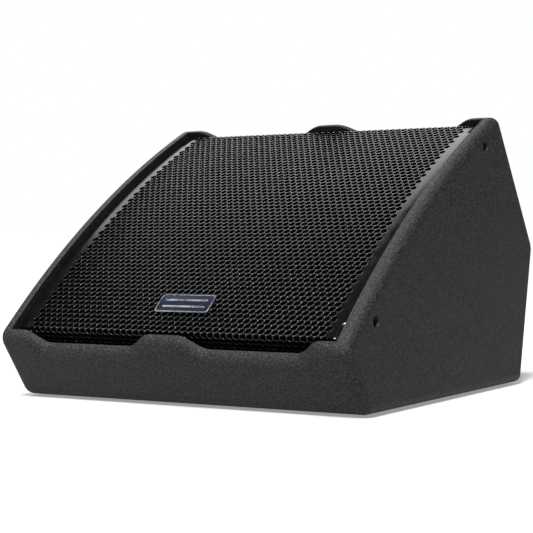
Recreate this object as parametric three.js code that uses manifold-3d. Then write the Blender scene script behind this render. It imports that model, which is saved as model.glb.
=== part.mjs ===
// Stage monitor wedge: an active 15 inch coaxial floor monitor. Millimetres, +Z up.
// The sloping front faces -Y and X is the width. The origin is on the floor, under the middle.
import * as THREE from 'three';
import { mergeVertices } from 'three/addons/utils/BufferGeometryUtils.js';
import Module from 'manifold-3d';

const wasm = await Module();
wasm.setup();

// ---------- Driving dimensions ----------
const HALF_WIDTH = 280;
const SIDE_THICKNESS = 20;
const LIP_THICKNESS = 15;
const PANEL_THICKNESS = 15;
const FOOT_HEIGHT = 3;
const CHORD = 552.1; // straight distance from the front lip's top edge to the apex
const CHORD_TILT = THREE.MathUtils.degToRad(34);
const FRONT_RADIUS = 1587; // of the arched front edge
const LIP_LENGTH = 103.2;
const REAR_UPPER = { length: 230.2, lean: 2 }; // square to the chord, and how far it leans in
const BASE_LENGTH = 480.9;
const ORIGIN_BEHIND_LIP_FOOT = 234.7;
const SIDE_ROUNDOVER = 14;
const CORNER_RADIUS = { lipFoot: 20, lipTop: 20, apex: 15, rear: 26, heel: 10, edge: 1.2 };
const JOINT_GAP = 0.2; // glue line between cabinet panels
const FIT_GAP = 0.3; // between pieces that touch

// Wave along the front and rear lips, as distances from the middle. The edge is raised up to the
// crest, falls to the foot, stays low until the rise and is raised again from the shoulder on.
const WAVE_DEPTH = 21;
const FRONT_WAVE = { crest: 22, foot: 66, rise: 197, shoulder: 237 };
const REAR_WAVE = { crest: 12, foot: 70, rise: 190, shoulder: 242 };

const GRILLE = { recess: 7.7, thickness: 1.5, skirt: 25, sideGap: 2.4, frontStart: 24.5, rearEnd: 533.5 };
const FOAM = { depth: 10, thickness: 6, start: 31, end: 528, sideGap: 6 };
const BADGE = { start: 62.5, end: 95.5, halfWidth: 43.5, thickness: 2 };
const BAFFLE = { depth: 34, thickness: 18, opening: 179, rearEnd: 536 };
const PORT = { x: 205, fromApex: 62, radius: 35, wall: 3, length: 110, flange: 42 };
const SCREW = {
  head: 4.75, headHeight: 2.8, shank: 2.4, hole: 3, counterbore: 7.5, counterboreDepth: 11, length: 21,
};
const GRILLE_SCREW_SPOTS = { lower: [79.8, -16.5], upper: [483.2, -11.7] }; // along the chord, above it

const AMP = {
  halfWidth: 165.5, halfHeight: 80, thickness: 3, faceDepth: 5, corner: 6,
  windowHalfWidth: 150, windowHalfHeight: 65, centre: 101,
};
const HANDLE = { below: 118, halfWidth: 92, halfHeight: 46, depth: 55, wall: 3, flange: 14, grip: 11 };

// ---------- Side profile, as Y and Z ----------
const at = (y, z) => new THREE.Vector2(y, z);
const along = at(Math.cos(CHORD_TILT), Math.sin(CHORD_TILT));
const outward = at(-along.y, along.x);
const lipFoot = at(-ORIGIN_BEHIND_LIP_FOOT, FOOT_HEIGHT);
const lipTop = lipFoot.clone().addScaledVector(outward, LIP_LENGTH);
const heel = at(lipFoot.x + BASE_LENGTH, FOOT_HEIGHT);
const onChord = (s, n) => lipTop.clone().addScaledVector(along, s).addScaledVector(outward, n);
const apex = onChord(CHORD, 0);
const rearCorner = onChord(CHORD - REAR_UPPER.lean, -REAR_UPPER.length);
const rearUp = rearCorner.clone().sub(heel).normalize();
const rearOut = at(rearUp.y, -rearUp.x);
const onRear = (v, d) => heel.clone().addScaledVector(rearUp, v).addScaledVector(rearOut, d);
const topDown = rearCorner.clone().sub(apex).normalize();
const topOut = at(-topDown.y, topDown.x);
const onRearTop = (v, d) => apex.clone().addScaledVector(topDown, v).addScaledVector(topOut, d);

// Where the line from p along u meets the line from q along w.
const crossing = (p, u, q, w) => p.clone().addScaledVector(u, q.clone().sub(p).cross(w) / u.cross(w));

// Height above the chord of the arched front, sunk by depth.
function arch(s, depth = 0) {
  const half = CHORD / 2;
  const centre = Math.sqrt(FRONT_RADIUS ** 2 - half ** 2);
  return Math.sqrt((FRONT_RADIUS - depth) ** 2 - (s - half) ** 2) - centre;
}

const chordLineAtHeight = (s, z) => crossing(onChord(s, 0), outward, at(0, z), at(1, 0));
const rearLineAtHeight = (z, d) => crossing(onRear(0, d), rearUp, at(0, z), at(1, 0));
const rearEdge = (dTop, d) => crossing(onRearTop(0, dTop), topDown, onRear(0, d), rearUp);

// ---------- Shape helpers ----------
// The points of a corner rounded with a radius.
function roundedCorner(before, corner, after, radius, steps = 4) {
  if (radius < 0.01) return [corner.clone()];
  const a = before.clone().sub(corner).normalize();
  const b = after.clone().sub(corner).normalize();
  const half = Math.acos(THREE.MathUtils.clamp(a.dot(b), -1, 1)) / 2;
  const middle = a.clone().add(b).normalize();
  const centre = corner.clone().addScaledVector(middle, radius / Math.sin(half));
  const from = corner.clone().addScaledVector(a, radius / Math.tan(half)).sub(centre);
  const to = corner.clone().addScaledVector(b, radius / Math.tan(half)).sub(centre);
  const sweep = Math.atan2(from.cross(to), from.dot(to));
  return Array.from({ length: steps + 1 }, (_, i) =>
    from.clone().rotateAround(at(0, 0), (sweep * i) / steps).add(centre));
}

// A closed outline from [point, radius] pairs.
function outline(corners, steps = 4) {
  const count = corners.length;
  return corners.flatMap(([point, radius], i) =>
    roundedCorner(corners[(i + count - 1) % count][0], point, corners[(i + 1) % count][0], radius, steps));
}

function archPoints(from, to, depth, steps = 14) {
  return Array.from({ length: steps + 1 }, (_, i) => {
    const s = from + ((to - from) * i) / steps;
    return onChord(s, arch(s, depth));
  });
}

function roundedRectangle(halfWidth, halfHeight, radius, steps = 4) {
  return outline([
    [at(-halfWidth, -halfHeight), radius], [at(halfWidth, -halfHeight), radius],
    [at(halfWidth, halfHeight), radius], [at(-halfWidth, halfHeight), radius],
  ], steps);
}

// Extrudes an outline in XY from z0 to z1.
function prism(points, z0, z1) {
  const options = { depth: z1 - z0, bevelEnabled: false, steps: 1 };
  return new THREE.ExtrudeGeometry(new THREE.Shape(points), options).translate(0, 0, z0);
}

// Extrudes an outline in the YZ side profile from x0 to x1.
function across(points, x0, x1) {
  const turn = new THREE.Matrix4().makeBasis(
    new THREE.Vector3(0, 1, 0), new THREE.Vector3(0, 0, 1), new THREE.Vector3(1, 0, 0));
  return prism(points, x0, x1).applyMatrix4(turn);
}

// Turns a closed profile of [radius, z] pairs about the Z axis.
function turned(profile, segments = 32) {
  const points = profile.map(([r, z]) => at(r, z));
  if (THREE.ShapeUtils.area(points) < 0) points.reverse();
  const [first] = points;
  const open = first.x < 1e-6 && points.at(-1).x < 1e-6;
  if (!open) points.push(first.clone());
  return new THREE.LatheGeometry(points, segments).rotateX(Math.PI / 2);
}

const cylinder = (radius, z0, z1, segments = 16) =>
  turned([[0, z0], [radius, z0], [radius, z1], [0, z1]], segments);

const tube = (inner, outer, z0, z1, segments = 32) =>
  turned([[inner, z0], [outer, z0], [outer, z1], [inner, z1]], segments);

const box = (x0, x1, y0, y1, z0, z1) =>
  new THREE.BoxGeometry(x1 - x0, y1 - y0, z1 - z0).translate((x0 + x1) / 2, (y0 + y1) / 2, (z0 + z1) / 2);

const moved = (geometry, x, y, z = 0) => geometry.clone().translate(x, y, z);

// A cylinder along X, centred on a point of the side profile.
const crossCylinder = (radius, point, x0, x1, segments = 16) =>
  cylinder(radius, x0, x1, segments).rotateY(Math.PI / 2).translate(0, point.x, point.y);

// ---------- Joining and cutting ----------
function toSolid(geometry) {
  const bare = geometry.clone();
  bare.deleteAttribute('normal');
  bare.deleteAttribute('uv');
  const merged = mergeVertices(bare, 1e-4);
  const triVerts = new Uint32Array(merged.index.array);
  const vertProperties = merged.attributes.position.array;
  return new wasm.Manifold(new wasm.Mesh({ numProp: 3, vertProperties, triVerts }));
}

function toGeometry(solid) {
  const { vertProperties, triVerts } = solid.getMesh();
  const geometry = new THREE.BufferGeometry();
  geometry.setAttribute('position', new THREE.BufferAttribute(vertProperties, 3));
  geometry.setIndex(new THREE.BufferAttribute(triVerts, 1));
  return geometry.toNonIndexed();
}

// The first geometry with others added, then others cut away.
function shaped(base, { add = [], cut = [] }) {
  let solid = toSolid(base);
  for (const geometry of add) solid = solid.add(toSolid(geometry));
  for (const geometry of cut) solid = solid.subtract(toSolid(geometry));
  return toGeometry(solid);
}

// ---------- Materials ----------
const material = (color, roughness, metalness = 0) =>
  new THREE.MeshStandardMaterial({ color, roughness, metalness });
const PAINT = material(0x343335, 0.82);
const WOOD = material(0x8a6b48, 0.8);
const GRILLE_STEEL = material(0x1c1c1d, 0.45, 0.4);
const FOAM_BLACK = material(0x0b0b0b, 1);
const BADGE_METAL = material(0x1d2740, 0.35, 0.5);
const RUBBER = material(0x161616, 0.9);
const BLACK_STEEL = material(0x202022, 0.5, 0.6);
const ZINC = material(0xa8aaad, 0.35, 0.9);
const CAST_ALUMINIUM = material(0x2b2c2e, 0.6, 0.5);
const PAPER_CONE = material(0x202021, 0.9);
const CLOTH = material(0xb49a55, 0.9);
const MAGNET = material(0x4a4b50, 0.5, 0.7);
const COPPER = material(0xb06a3a, 0.4, 0.8);
const MOULDED_BLACK = material(0x18181a, 0.55);
const ANODISED = material(0x1b1c1e, 0.45, 0.5);
const BOARD_GREEN = material(0x1f5a38, 0.6);
const LENS_GREEN = material(0x6fd08a, 0.2);
const WADDING = material(0xc9c7bd, 1);

const wedge = new THREE.Group();

function place(name, geometry, finish, parent = wedge) {
  const mesh = new THREE.Mesh(geometry, finish);
  mesh.name = name;
  parent.add(mesh);
  return mesh;
}

// A group whose +Z points along facing and +Y along up, both in the side profile.
function facingGroup(origin, facing, up) {
  const z = new THREE.Vector3(0, facing.x, facing.y);
  const y = new THREE.Vector3(0, up.x, up.y);
  const x = y.clone().cross(z);
  const group = new THREE.Group();
  group.quaternion.setFromRotationMatrix(new THREE.Matrix4().makeBasis(x, y, z));
  group.position.set(0, origin.x, origin.y);
  group.updateMatrix();
  wedge.add(group);
  return group;
}

const driverCentre = CHORD / 2;
const front = facingGroup(onChord(driverCentre, -BAFFLE.depth), outward, along);
const rear = facingGroup(onRear(AMP.centre, 0), rearOut, rearUp);
const back = facingGroup(onRearTop(HANDLE.below, 0), topOut, topDown.clone().negate());
const AMP_SCREWS = [[-158, -72], [158, -72], [158, 72], [-158, 72]];

// ---------- Cabinet ----------
// The side panel's outline with every edge moved in by inset.
function sideOutline(inset) {
  const foot = chordLineAtHeight(inset, FOOT_HEIGHT + inset);
  const lip = onChord(inset, arch(inset, inset));
  const top = onChord(CHORD - inset, arch(CHORD - inset, inset));
  const rear = rearEdge(-inset, -inset);
  const base = rearLineAtHeight(FOOT_HEIGHT + inset, -inset);
  const near = 8;
  const afterLip = onChord(inset + near, arch(inset + near, inset));
  const beforeApex = onChord(CHORD - inset - near, arch(CHORD - inset - near, inset));
  const radius = (name) => Math.max(CORNER_RADIUS[name] - inset, 0.4);
  const reach = SIDE_ROUNDOVER + 4;
  return [
    ...roundedCorner(base, foot, lip, radius('lipFoot')),
    ...roundedCorner(foot, lip, afterLip, radius('lipTop')),
    ...archPoints(inset + reach, CHORD - inset - reach, inset),
    ...roundedCorner(beforeApex, top, rear, radius('apex')),
    ...roundedCorner(top, rear, base, radius('rear')),
    ...roundedCorner(rear, base, foot, radius('heel')),
  ];
}

// Joins rings of points, each [x, clockwise outline], into a closed body along X.
function loft(rings) {
  const count = rings[0][1].length;
  const positions = rings.flatMap(([x, points]) => points.flatMap((p) => [x, p.x, p.y]));
  const index = [];
  rings.slice(1).forEach((_, ring) => {
    for (let i = 0; i < count; i += 1) {
      const a = ring * count + i;
      const b = ring * count + ((i + 1) % count);
      index.push(a, a + count, b, b, a + count, b + count);
    }
  });
  const cap = (points, offset, flip) => THREE.ShapeUtils.triangulateShape(points, [])
    .forEach(([a, b, c]) => index.push(...(flip ? [c, b, a] : [a, b, c]).map((v) => v + offset)));
  cap(rings[0][1], 0, true);
  cap(rings.at(-1)[1], (rings.length - 1) * count, false);
  const geometry = new THREE.BufferGeometry();
  geometry.setAttribute('position', new THREE.Float32BufferAttribute(positions, 3));
  geometry.setIndex(index);
  return geometry;
}

function sidePanel() {
  const inner = HALF_WIDTH - SIDE_THICKNESS;
  const steps = 4;
  const rings = [[inner, sideOutline(0)]];
  for (let i = 0; i <= steps; i += 1) {
    const angle = (Math.PI / 2) * (i / steps);
    const x = HALF_WIDTH - SIDE_ROUNDOVER * (1 - Math.sin(angle));
    rings.push([x, sideOutline(SIDE_ROUNDOVER * (1 - Math.cos(angle)))]);
  }
  const floor = HALF_WIDTH - SCREW.counterboreDepth;
  const holes = Object.values(GRILLE_SCREW_SPOTS).flatMap(([s, n]) => [
    crossCylinder(SCREW.counterbore, onChord(s, n), floor, HALF_WIDTH + 5, 20),
    crossCylinder(SCREW.hole, onChord(s, n), inner - 5, floor + 1, 12),
  ]);
  return shaped(loft(rings), { cut: holes });
}

const INNER_X = HALF_WIDTH - SIDE_THICKNESS - JOINT_GAP;

// How far a wavy edge lies below its raised parts at x.
function waveDrop(x, { crest, foot, rise, shoulder }) {
  const far = Math.abs(x);
  if (far <= crest || far >= shoulder) return 0;
  if (far >= foot && far <= rise) return WAVE_DEPTH;
  const share = far < foot ? (far - crest) / (foot - crest) : (shoulder - far) / (shoulder - rise);
  return (WAVE_DEPTH * (1 - Math.cos(Math.PI * share))) / 2;
}

// A panel between the sides whose counterclockwise section depends on the wave's drop.
function wavyPanel(wave, section) {
  const steps = 8;
  const slope = (from, to) => Array.from({ length: steps + 1 }, (_, i) => from + ((to - from) * i) / steps);
  const half = [...slope(wave.crest, wave.foot), ...slope(wave.rise, wave.shoulder), INNER_X];
  const stations = [...half.map((x) => -x).reverse(), ...half];
  return loft(stations.map((x) => [x, section(waveDrop(x, wave)).reverse()]));
}

// The rounded nose of the lip ends at the lip's inner face.
function lipSection(drop) {
  const corner = onChord(0, -drop);
  const inner = onChord(LIP_THICKNESS, arch(LIP_THICKNESS) - drop);
  const innerFoot = chordLineAtHeight(LIP_THICKNESS, FOOT_HEIGHT);
  const nose = roundedCorner(inner, corner, lipFoot, CORNER_RADIUS.lipTop)
    .filter((point) => point.clone().sub(lipTop).dot(along) < LIP_THICKNESS - CORNER_RADIUS.edge);
  return [...roundedCorner(corner, lipFoot, innerFoot, CORNER_RADIUS.lipFoot), innerFoot, inner, ...nose];
}

const frontLipPanel = () => wavyPanel(FRONT_WAVE, lipSection);

function rearUpperSection(drop) {
  const rise = arch(CHORD - PANEL_THICKNESS);
  return outline([
    [onRearTop(drop - rise, -PANEL_THICKNESS), CORNER_RADIUS.edge],
    [rearEdge(-PANEL_THICKNESS, 0), 0],
    [rearCorner, CORNER_RADIUS.rear],
    [onRearTop(drop, 0), CORNER_RADIUS.apex],
  ]);
}

function rearUpperPanel() {
  const { below, halfHeight, halfWidth } = HANDLE;
  const handleHole = across([
    onRearTop(below + halfHeight, -30), onRearTop(below + halfHeight, 10),
    onRearTop(below - halfHeight, 10), onRearTop(below - halfHeight, -30),
  ], -halfWidth, halfWidth);
  return shaped(wavyPanel(REAR_WAVE, rearUpperSection), { cut: [handleHole] });
}

function rearLowerPanel() {
  const top = -PANEL_THICKNESS - JOINT_GAP;
  const points = outline([
    [rearEdge(top, 0), 0],
    [rearEdge(top, -PANEL_THICKNESS), 0],
    [rearLineAtHeight(FOOT_HEIGHT, -PANEL_THICKNESS), 0],
    [heel, CORNER_RADIUS.heel],
  ]);
  const slot = (halfHeight, halfWidth, d0, d1) => across([
    onRear(AMP.centre - halfHeight, d0), onRear(AMP.centre - halfHeight, d1),
    onRear(AMP.centre + halfHeight, d1), onRear(AMP.centre + halfHeight, d0),
  ], -halfWidth, halfWidth);
  const ledge = -(AMP.faceDepth + AMP.thickness + FIT_GAP);
  const clearance = 0.7;
  const screwHoles = AMP_SCREWS.map(([x, y]) =>
    moved(cylinder(2.4, -PANEL_THICKNESS - 5, 0, 12), x, y).applyMatrix4(rear.matrix));
  return shaped(across(points, -INNER_X, INNER_X), {
    cut: [
      ...screwHoles,
      slot(AMP.halfHeight + clearance, AMP.halfWidth + clearance, ledge, 5),
      slot(AMP.windowHalfHeight, AMP.windowHalfWidth, -PANEL_THICKNESS - 5, 5),
    ],
  });
}

function bottomPanel() {
  const top = FOOT_HEIGHT + PANEL_THICKNESS;
  const front = LIP_THICKNESS + JOINT_GAP;
  const rear = -PANEL_THICKNESS - JOINT_GAP;
  return across([
    chordLineAtHeight(front, FOOT_HEIGHT), rearLineAtHeight(FOOT_HEIGHT, rear),
    rearLineAtHeight(top, rear), chordLineAtHeight(front, top),
  ], -INNER_X, INNER_X);
}

const side = sidePanel();
place('side_panel_right', side, PAINT);
place('side_panel_left', side, PAINT).scale.x = -1;
place('front_lip_panel', frontLipPanel(), PAINT);
place('rear_upper_panel', rearUpperPanel(), PAINT);
place('rear_lower_panel', rearLowerPanel(), PAINT);
place('bottom_panel', bottomPanel(), PAINT);

const FOOT = { x: 205, front: -165, rear: 185, radius: 16 };
for (const [end, y] of [['front', FOOT.front], ['rear', FOOT.rear]]) {
  for (const [hand, x] of [['left', -FOOT.x], ['right', FOOT.x]]) {
    const top = FOOT_HEIGHT - FIT_GAP;
    const pad = turned([[0, 0], [FOOT.radius - 1, 0], [FOOT.radius, 1], [FOOT.radius, top], [0, top]], 24);
    place(`foot_${end}_${hand}`, pad, RUBBER).position.set(x, y, 0);
  }
}

const PAD = { front: -165, rear: 170, halfWidth: 250, thickness: 15 };
const padBase = FOOT_HEIGHT + PANEL_THICKNESS + FIT_GAP;
place('damping_pad', box(-PAD.halfWidth, PAD.halfWidth, PAD.front, PAD.rear, padBase, padBase + PAD.thickness),
  WADDING);

// ---------- Grille ----------
function skirtFoot(s, depth) {
  const half = CHORD / 2;
  const lean = Math.asin((half - s) / FRONT_RADIUS);
  const top = onChord(s, arch(s, GRILLE.recess));
  return top.addScaledVector(along, Math.sin(lean) * depth).addScaledVector(outward, -Math.cos(lean) * depth);
}

function grille() {
  const { recess, thickness, skirt, sideGap, frontStart, rearEnd } = GRILLE;
  const halfWidth = HALF_WIDTH - SIDE_THICKNESS - sideGap;
  const shell = across([
    ...archPoints(frontStart, rearEnd, recess).reverse(),
    skirtFoot(frontStart, skirt), skirtFoot(rearEnd, skirt),
  ], -halfWidth, halfWidth);
  const start = frontStart + thickness;
  const end = rearEnd - thickness;
  const hollow = across([
    ...archPoints(start, end, recess + thickness).reverse(),
    skirtFoot(start, skirt * 2), skirtFoot(end, skirt * 2),
  ], -halfWidth + thickness, halfWidth - thickness);
  const holes = Object.values(GRILLE_SCREW_SPOTS).map(([s, n]) =>
    crossCylinder(SCREW.hole, onChord(s, n), -halfWidth - 5, halfWidth + 5, 12));
  return shaped(shell, { cut: [hollow, ...holes] });
}

function archedSheet(from, to, depth, thickness, halfWidth) {
  return across([
    ...archPoints(from, to, depth, 10), ...archPoints(from, to, depth + thickness, 10).reverse(),
  ].reverse(), -halfWidth, halfWidth);
}

place('grille', grille(), GRILLE_STEEL);
const foamHalfWidth = HALF_WIDTH - SIDE_THICKNESS - FOAM.sideGap;
place('grille_foam', archedSheet(FOAM.start, FOAM.end, FOAM.depth, FOAM.thickness, foamHalfWidth), FOAM_BLACK);
const badgeDepth = GRILLE.recess - 0.5 - BADGE.thickness;
place('badge_plate', archedSheet(BADGE.start, BADGE.end, badgeDepth, BADGE.thickness, BADGE.halfWidth),
  BADGE_METAL);

// Button head screw whose head rests on z = 0 and whose shank runs down.
const buttonScrew = (head, height, shank, length) => turned([
  [0, -length], [shank, -length], [shank, 0], [head, 0],
  [head, height * 0.55], [head * 0.65, height], [0, height],
], 12);

function grilleFixings() {
  const headSeat = HALF_WIDTH - SCREW.counterboreDepth + FIT_GAP;
  const nutFace = HALF_WIDTH - SIDE_THICKNESS - GRILLE.sideGap - GRILLE.thickness - FIT_GAP;
  for (const [level, [s, n]] of Object.entries(GRILLE_SCREW_SPOTS)) {
    const spot = onChord(s, n);
    for (const [hand, sign] of [['left', -1], ['right', 1]]) {
      const screw = buttonScrew(SCREW.head, SCREW.headHeight, SCREW.shank, SCREW.length);
      const one = place(`grille_screw_${level}_${hand}`, screw, BLACK_STEEL);
      one.rotation.y = (sign * Math.PI) / 2;
      one.position.set(sign * headSeat, spot.x, spot.y);
      const nut = place(`grille_nut_${level}_${hand}`, tube(2.8, 5.5, -9, 0, 12), ZINC);
      nut.rotation.y = (sign * Math.PI) / 2;
      nut.position.set(sign * nutFace, spot.x, spot.y);
    }
  }
}
grilleFixings();

// ---------- Baffle and ports ----------
function baffle() {
  const low = LIP_THICKNESS + JOINT_GAP - driverCentre;
  const high = BAFFLE.rearEnd - driverCentre;
  const through = [-BAFFLE.thickness - 5, 5];
  const portHole = cylinder(PORT.radius + 0.5, ...through, 24);
  const portY = CHORD - PORT.fromApex - driverCentre;
  return shaped(box(-INNER_X, INNER_X, low, high, -BAFFLE.thickness, 0), {
    cut: [
      cylinder(BAFFLE.opening, ...through, 30),
      moved(portHole, -PORT.x, portY),
      moved(portHole, PORT.x, portY),
    ],
  });
}
place('baffle', baffle(), PAINT, front);

for (const [hand, sign] of [['left', -1], ['right', 1]]) {
  const { radius, wall, length, flange } = PORT;
  const profile = [
    [radius, -length], [radius, FIT_GAP], [flange, FIT_GAP], [flange, FIT_GAP + wall],
    [radius - wall + 2, FIT_GAP + wall], [radius - wall, -4], [radius - wall, -length],
  ];
  const port = place(`port_tube_${hand}`, turned(profile, 24), MOULDED_BLACK, front);
  port.position.set(sign * PORT.x, CHORD - PORT.fromApex - driverCentre, 0);
}

// ---------- Coaxial driver, z = 0 on the baffle's front face ----------
function wooferFrame() {
  const ring = turned([
    [194, 0.3], [194, 6.3], [184, 6.3], [184, 1.2], [172, 1.2], [166, -12], [86, -92],
    [60, -92], [60, -96], [88, -96], [172, -14.5], [177, 0.3],
  ], 30);
  const windows = Array.from({ length: 6 }, (_, i) => {
    const middle = (i * Math.PI) / 3;
    const half = 0.35;
    const edge = (radius, from, to) => Array.from({ length: 3 }, (__, k) => {
      const angle = from + ((to - from) * k) / 2;
      return at(radius * Math.cos(angle), radius * Math.sin(angle));
    });
    const sector = [
      ...edge(158, middle - half, middle + half), ...edge(112, middle + half, middle - half),
    ];
    return prism(sector, -110, -8);
  });
  return shaped(ring, { cut: windows });
}

function surroundProfile() {
  const roll = { centre: 174, height: 2.1, outer: 7.6, inner: 6.4 };
  const arc = (radius, from, to) => Array.from({ length: 5 }, (_, i) => {
    const angle = from + ((to - from) * i) / 4;
    return [roll.centre + radius * Math.cos(angle), roll.height + radius * Math.sin(angle)];
  });
  return [
    [160, 1.5], ...arc(roll.inner, Math.PI, 0), [183.5, 1.5], [183.5, 2.7],
    ...arc(roll.outer, 0.08, Math.PI - 0.08), [160, 2.7],
  ];
}

function spiderProfile() {
  const inner = 52.7;
  const outer = 103.2;
  const folds = 4;
  const line = (lift) => Array.from({ length: folds + 1 }, (_, i) =>
    [inner + ((outer - inner) * i) / folds, -72 + (i % 2 ? 2 : -2) + lift]);
  return [...line(0), ...line(0.9).reverse()];
}

const CONE_LINE = [[53, -58], [95, -33], [130, -15], [164, 1]];
const coneProfile = [...CONE_LINE, ...CONE_LINE.map(([r, z]) => [r, z - 1.8]).reverse()];
const HORN_LINE = [[17, -132.6], [18, -96], [22, -72], [32, -50], [48, -32], [72, -20]];
const hornProfile = [...HORN_LINE, [74, -22.4], [50, -34.6], [34.4, -52], [24.4, -73], [20, -95], [19.5, -132.6]];
const domeLine = [[0, -147.5], [18, -145], [30, -141], [36, -137.5]];
const domeProfile = [...domeLine, [36.8, -138.4], [30.4, -142], [18, -146], [0, -148.5]];

place('woofer_frame', wooferFrame(), CAST_ALUMINIUM, front);
place('woofer_gasket', tube(184.5, 193.5, 6.6, 8.6, 30), FOAM_BLACK, front);
place('woofer_surround', turned(surroundProfile(), 30), CLOTH, front);
place('woofer_cone', turned(coneProfile, 30), PAPER_CONE, front);
place('voice_coil', tube(51, 52.2, -110, -58.2, 28), COPPER, front);
place('woofer_spider', turned(spiderProfile(), 28), CLOTH, front);
place('magnet_top_plate', tube(53.2, 76, -104.3, -96.3, 28), BLACK_STEEL, front);
place('magnet_ring', tube(56, 76, -122.6, -104.6, 28), MAGNET, front);
place('magnet_back_plate', turned([
  [20.3, -132.9], [76, -132.9], [76, -122.9], [50, -122.9], [50, -97], [20.3, -97],
], 28), BLACK_STEEL, front);
place('horn_flare', turned(hornProfile, 24), MOULDED_BLACK, front);
place('hf_diaphragm', turned(domeProfile, 24), ZINC, front);
place('hf_driver_cover', turned([
  [0, -160], [58, -160], [62, -156], [62, -133.2], [58, -133.2], [58, -156], [0, -156],
], 24), CAST_ALUMINIUM, front);

// ---------- Amplifier module, z = 0 on the rear lower face, x to the right seen from behind ----------
const FACE = -AMP.faceDepth;
const FACE_GAP = FACE + FIT_GAP;
const SPOTS = {
  input: [-128, 36], link: [-92, 36], inlet: [-128, -32], outlet: [-92, -32], rocker: [-50, -34],
  knob: [-54, 30], button1: [-24, 38], button2: [-24, 20], lens: [-4, 38],
};
const KNOB_SHAFT = 3;
const BUTTON_RADIUS = 3.5;
const LENS_RADIUS = 2.5;
const ROCKER_OPENING = { halfWidth: 7.5, halfHeight: 11.5 };
const STANDOFF = { x: 140, y: 55, radius: 3, length: 23.7 };
const LATCH = { halfWidth: 3.6, halfHeight: 1.9, centre: 12.6 };

function latchOpening([x, y], [z0, z1]) {
  const halfWidth = LATCH.halfWidth + 0.4;
  const halfHeight = LATCH.halfHeight + 0.4;
  const middle = y + LATCH.centre;
  return box(x - halfWidth, x + halfWidth, middle - halfHeight, middle + halfHeight, z0, z1);
}

function ampPanel() {
  const back = FACE - AMP.thickness;
  const through = [back - 2, FACE + 2];
  const hole = (radius, [x, y], segments = 16) => moved(cylinder(radius, ...through, segments), x, y);
  const { halfWidth, halfHeight } = ROCKER_OPENING;
  const [rx, ry] = SPOTS.rocker;
  const posts = [[-1, -1], [1, -1], [1, 1], [-1, 1]].map(([i, j]) =>
    moved(cylinder(STANDOFF.radius, back - STANDOFF.length, back + 1, 10), i * STANDOFF.x, j * STANDOFF.y));
  return shaped(prism(roundedRectangle(AMP.halfWidth, AMP.halfHeight, AMP.corner), back, FACE), {
    add: posts,
    cut: [
      ...['input', 'link', 'inlet', 'outlet'].map((name) => hole(12.1, SPOTS[name])),
      hole(KNOB_SHAFT + 1.2, SPOTS.knob), hole(BUTTON_RADIUS + 0.4, SPOTS.button1),
      hole(BUTTON_RADIUS + 0.4, SPOTS.button2), hole(LENS_RADIUS + 0.3, SPOTS.lens),
      box(rx - halfWidth - 0.3, rx + halfWidth + 0.3, ry - halfHeight - 0.3, ry + halfHeight + 0.3, ...through),
      latchOpening(SPOTS.input, through),
      ...AMP_SCREWS.map((spot) => hole(2.4, spot, 8)),
    ],
  });
}
place('amp_panel', ampPanel(), ANODISED, rear);
AMP_SCREWS.forEach(([x, y], i) => {
  place(`amp_panel_screw_${i + 1}`, buttonScrew(4, 2.2, 2, 12), BLACK_STEEL, rear).position.set(x, y, FACE_GAP);
});

function heatSink() {
  const [left, right] = [20, 146];
  const base = FACE_GAP + 3;
  const fins = Array.from({ length: 10 }, (_, i) => {
    const x = left + 1.5 + (i * (right - left - 3)) / 9;
    return box(x - 1.25, x + 1.25, -62, 50, base - 1, 8);
  });
  return shaped(box(left, right, -62, 50, FACE_GAP, base), { add: fins });
}
place('heat_sink', heatSink(), ANODISED, rear);

// A round panel socket: a flange, a barrel, a recess and a core or pins in it.
function panelSocket({ recess, core, setback, depth, pins = [], pinRadius, pinTop }) {
  const flangeTop = FACE_GAP + 2;
  const flange = prism(roundedRectangle(13, 15.5, 3), FACE_GAP, flangeTop);
  const floor = flangeTop - depth;
  const extras = pins.map(([x, y]) => moved(cylinder(pinRadius, floor - 0.5, pinTop, 8), x, y));
  const coreProfile = [[0, floor - 0.5], [core, floor - 0.5], [core, flangeTop - setback], [0, flangeTop - setback]];
  if (core) extras.push(turned(coreProfile, 20));
  const hollow = shaped(flange, {
    add: [cylinder(11.8, -34, FACE_GAP + 1, 24)],
    cut: [cylinder(recess, floor, flangeTop + 2, 24)],
  });
  return extras.length ? shaped(hollow, { add: extras }) : hollow;
}
const threePins = (radius) => [90, 210, 330].map((degrees) => {
  const angle = THREE.MathUtils.degToRad(degrees);
  return [radius * Math.cos(angle), radius * Math.sin(angle)];
});

function inputSocket() {
  const socket = panelSocket({ recess: 9.5, core: 7.3, setback: 6, depth: 17 });
  const contacts = threePins(4.2).map(([x, y]) => moved(cylinder(1.3, -22, 0, 8), x, y));
  return shaped(socket, { cut: [latchOpening([0, 0], [FACE_GAP - 8, FACE_GAP + 4]), ...contacts] });
}

place('input_socket', inputSocket(), MOULDED_BLACK, rear).position.set(...SPOTS.input, 0);
const latch = box(-LATCH.halfWidth, LATCH.halfWidth, -LATCH.halfHeight, LATCH.halfHeight, -4, 4.2);
place('input_latch', latch, ZINC, rear)
  .position.set(SPOTS.input[0], SPOTS.input[1] + LATCH.centre, FACE_GAP);
place('link_socket', panelSocket({
  recess: 9.5, core: 0, setback: 0, depth: 17, pins: threePins(4.2), pinRadius: 1.2, pinTop: -10,
}), MOULDED_BLACK, rear).position.set(...SPOTS.link, 0);
const mainsSocket = { recess: 10.6, core: 5, setback: 6, depth: 20 };
place('mains_inlet', panelSocket(mainsSocket), MOULDED_BLACK, rear).position.set(...SPOTS.inlet, 0);
place('mains_outlet', panelSocket(mainsSocket), MOULDED_BLACK, rear).position.set(...SPOTS.outlet, 0);

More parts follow.
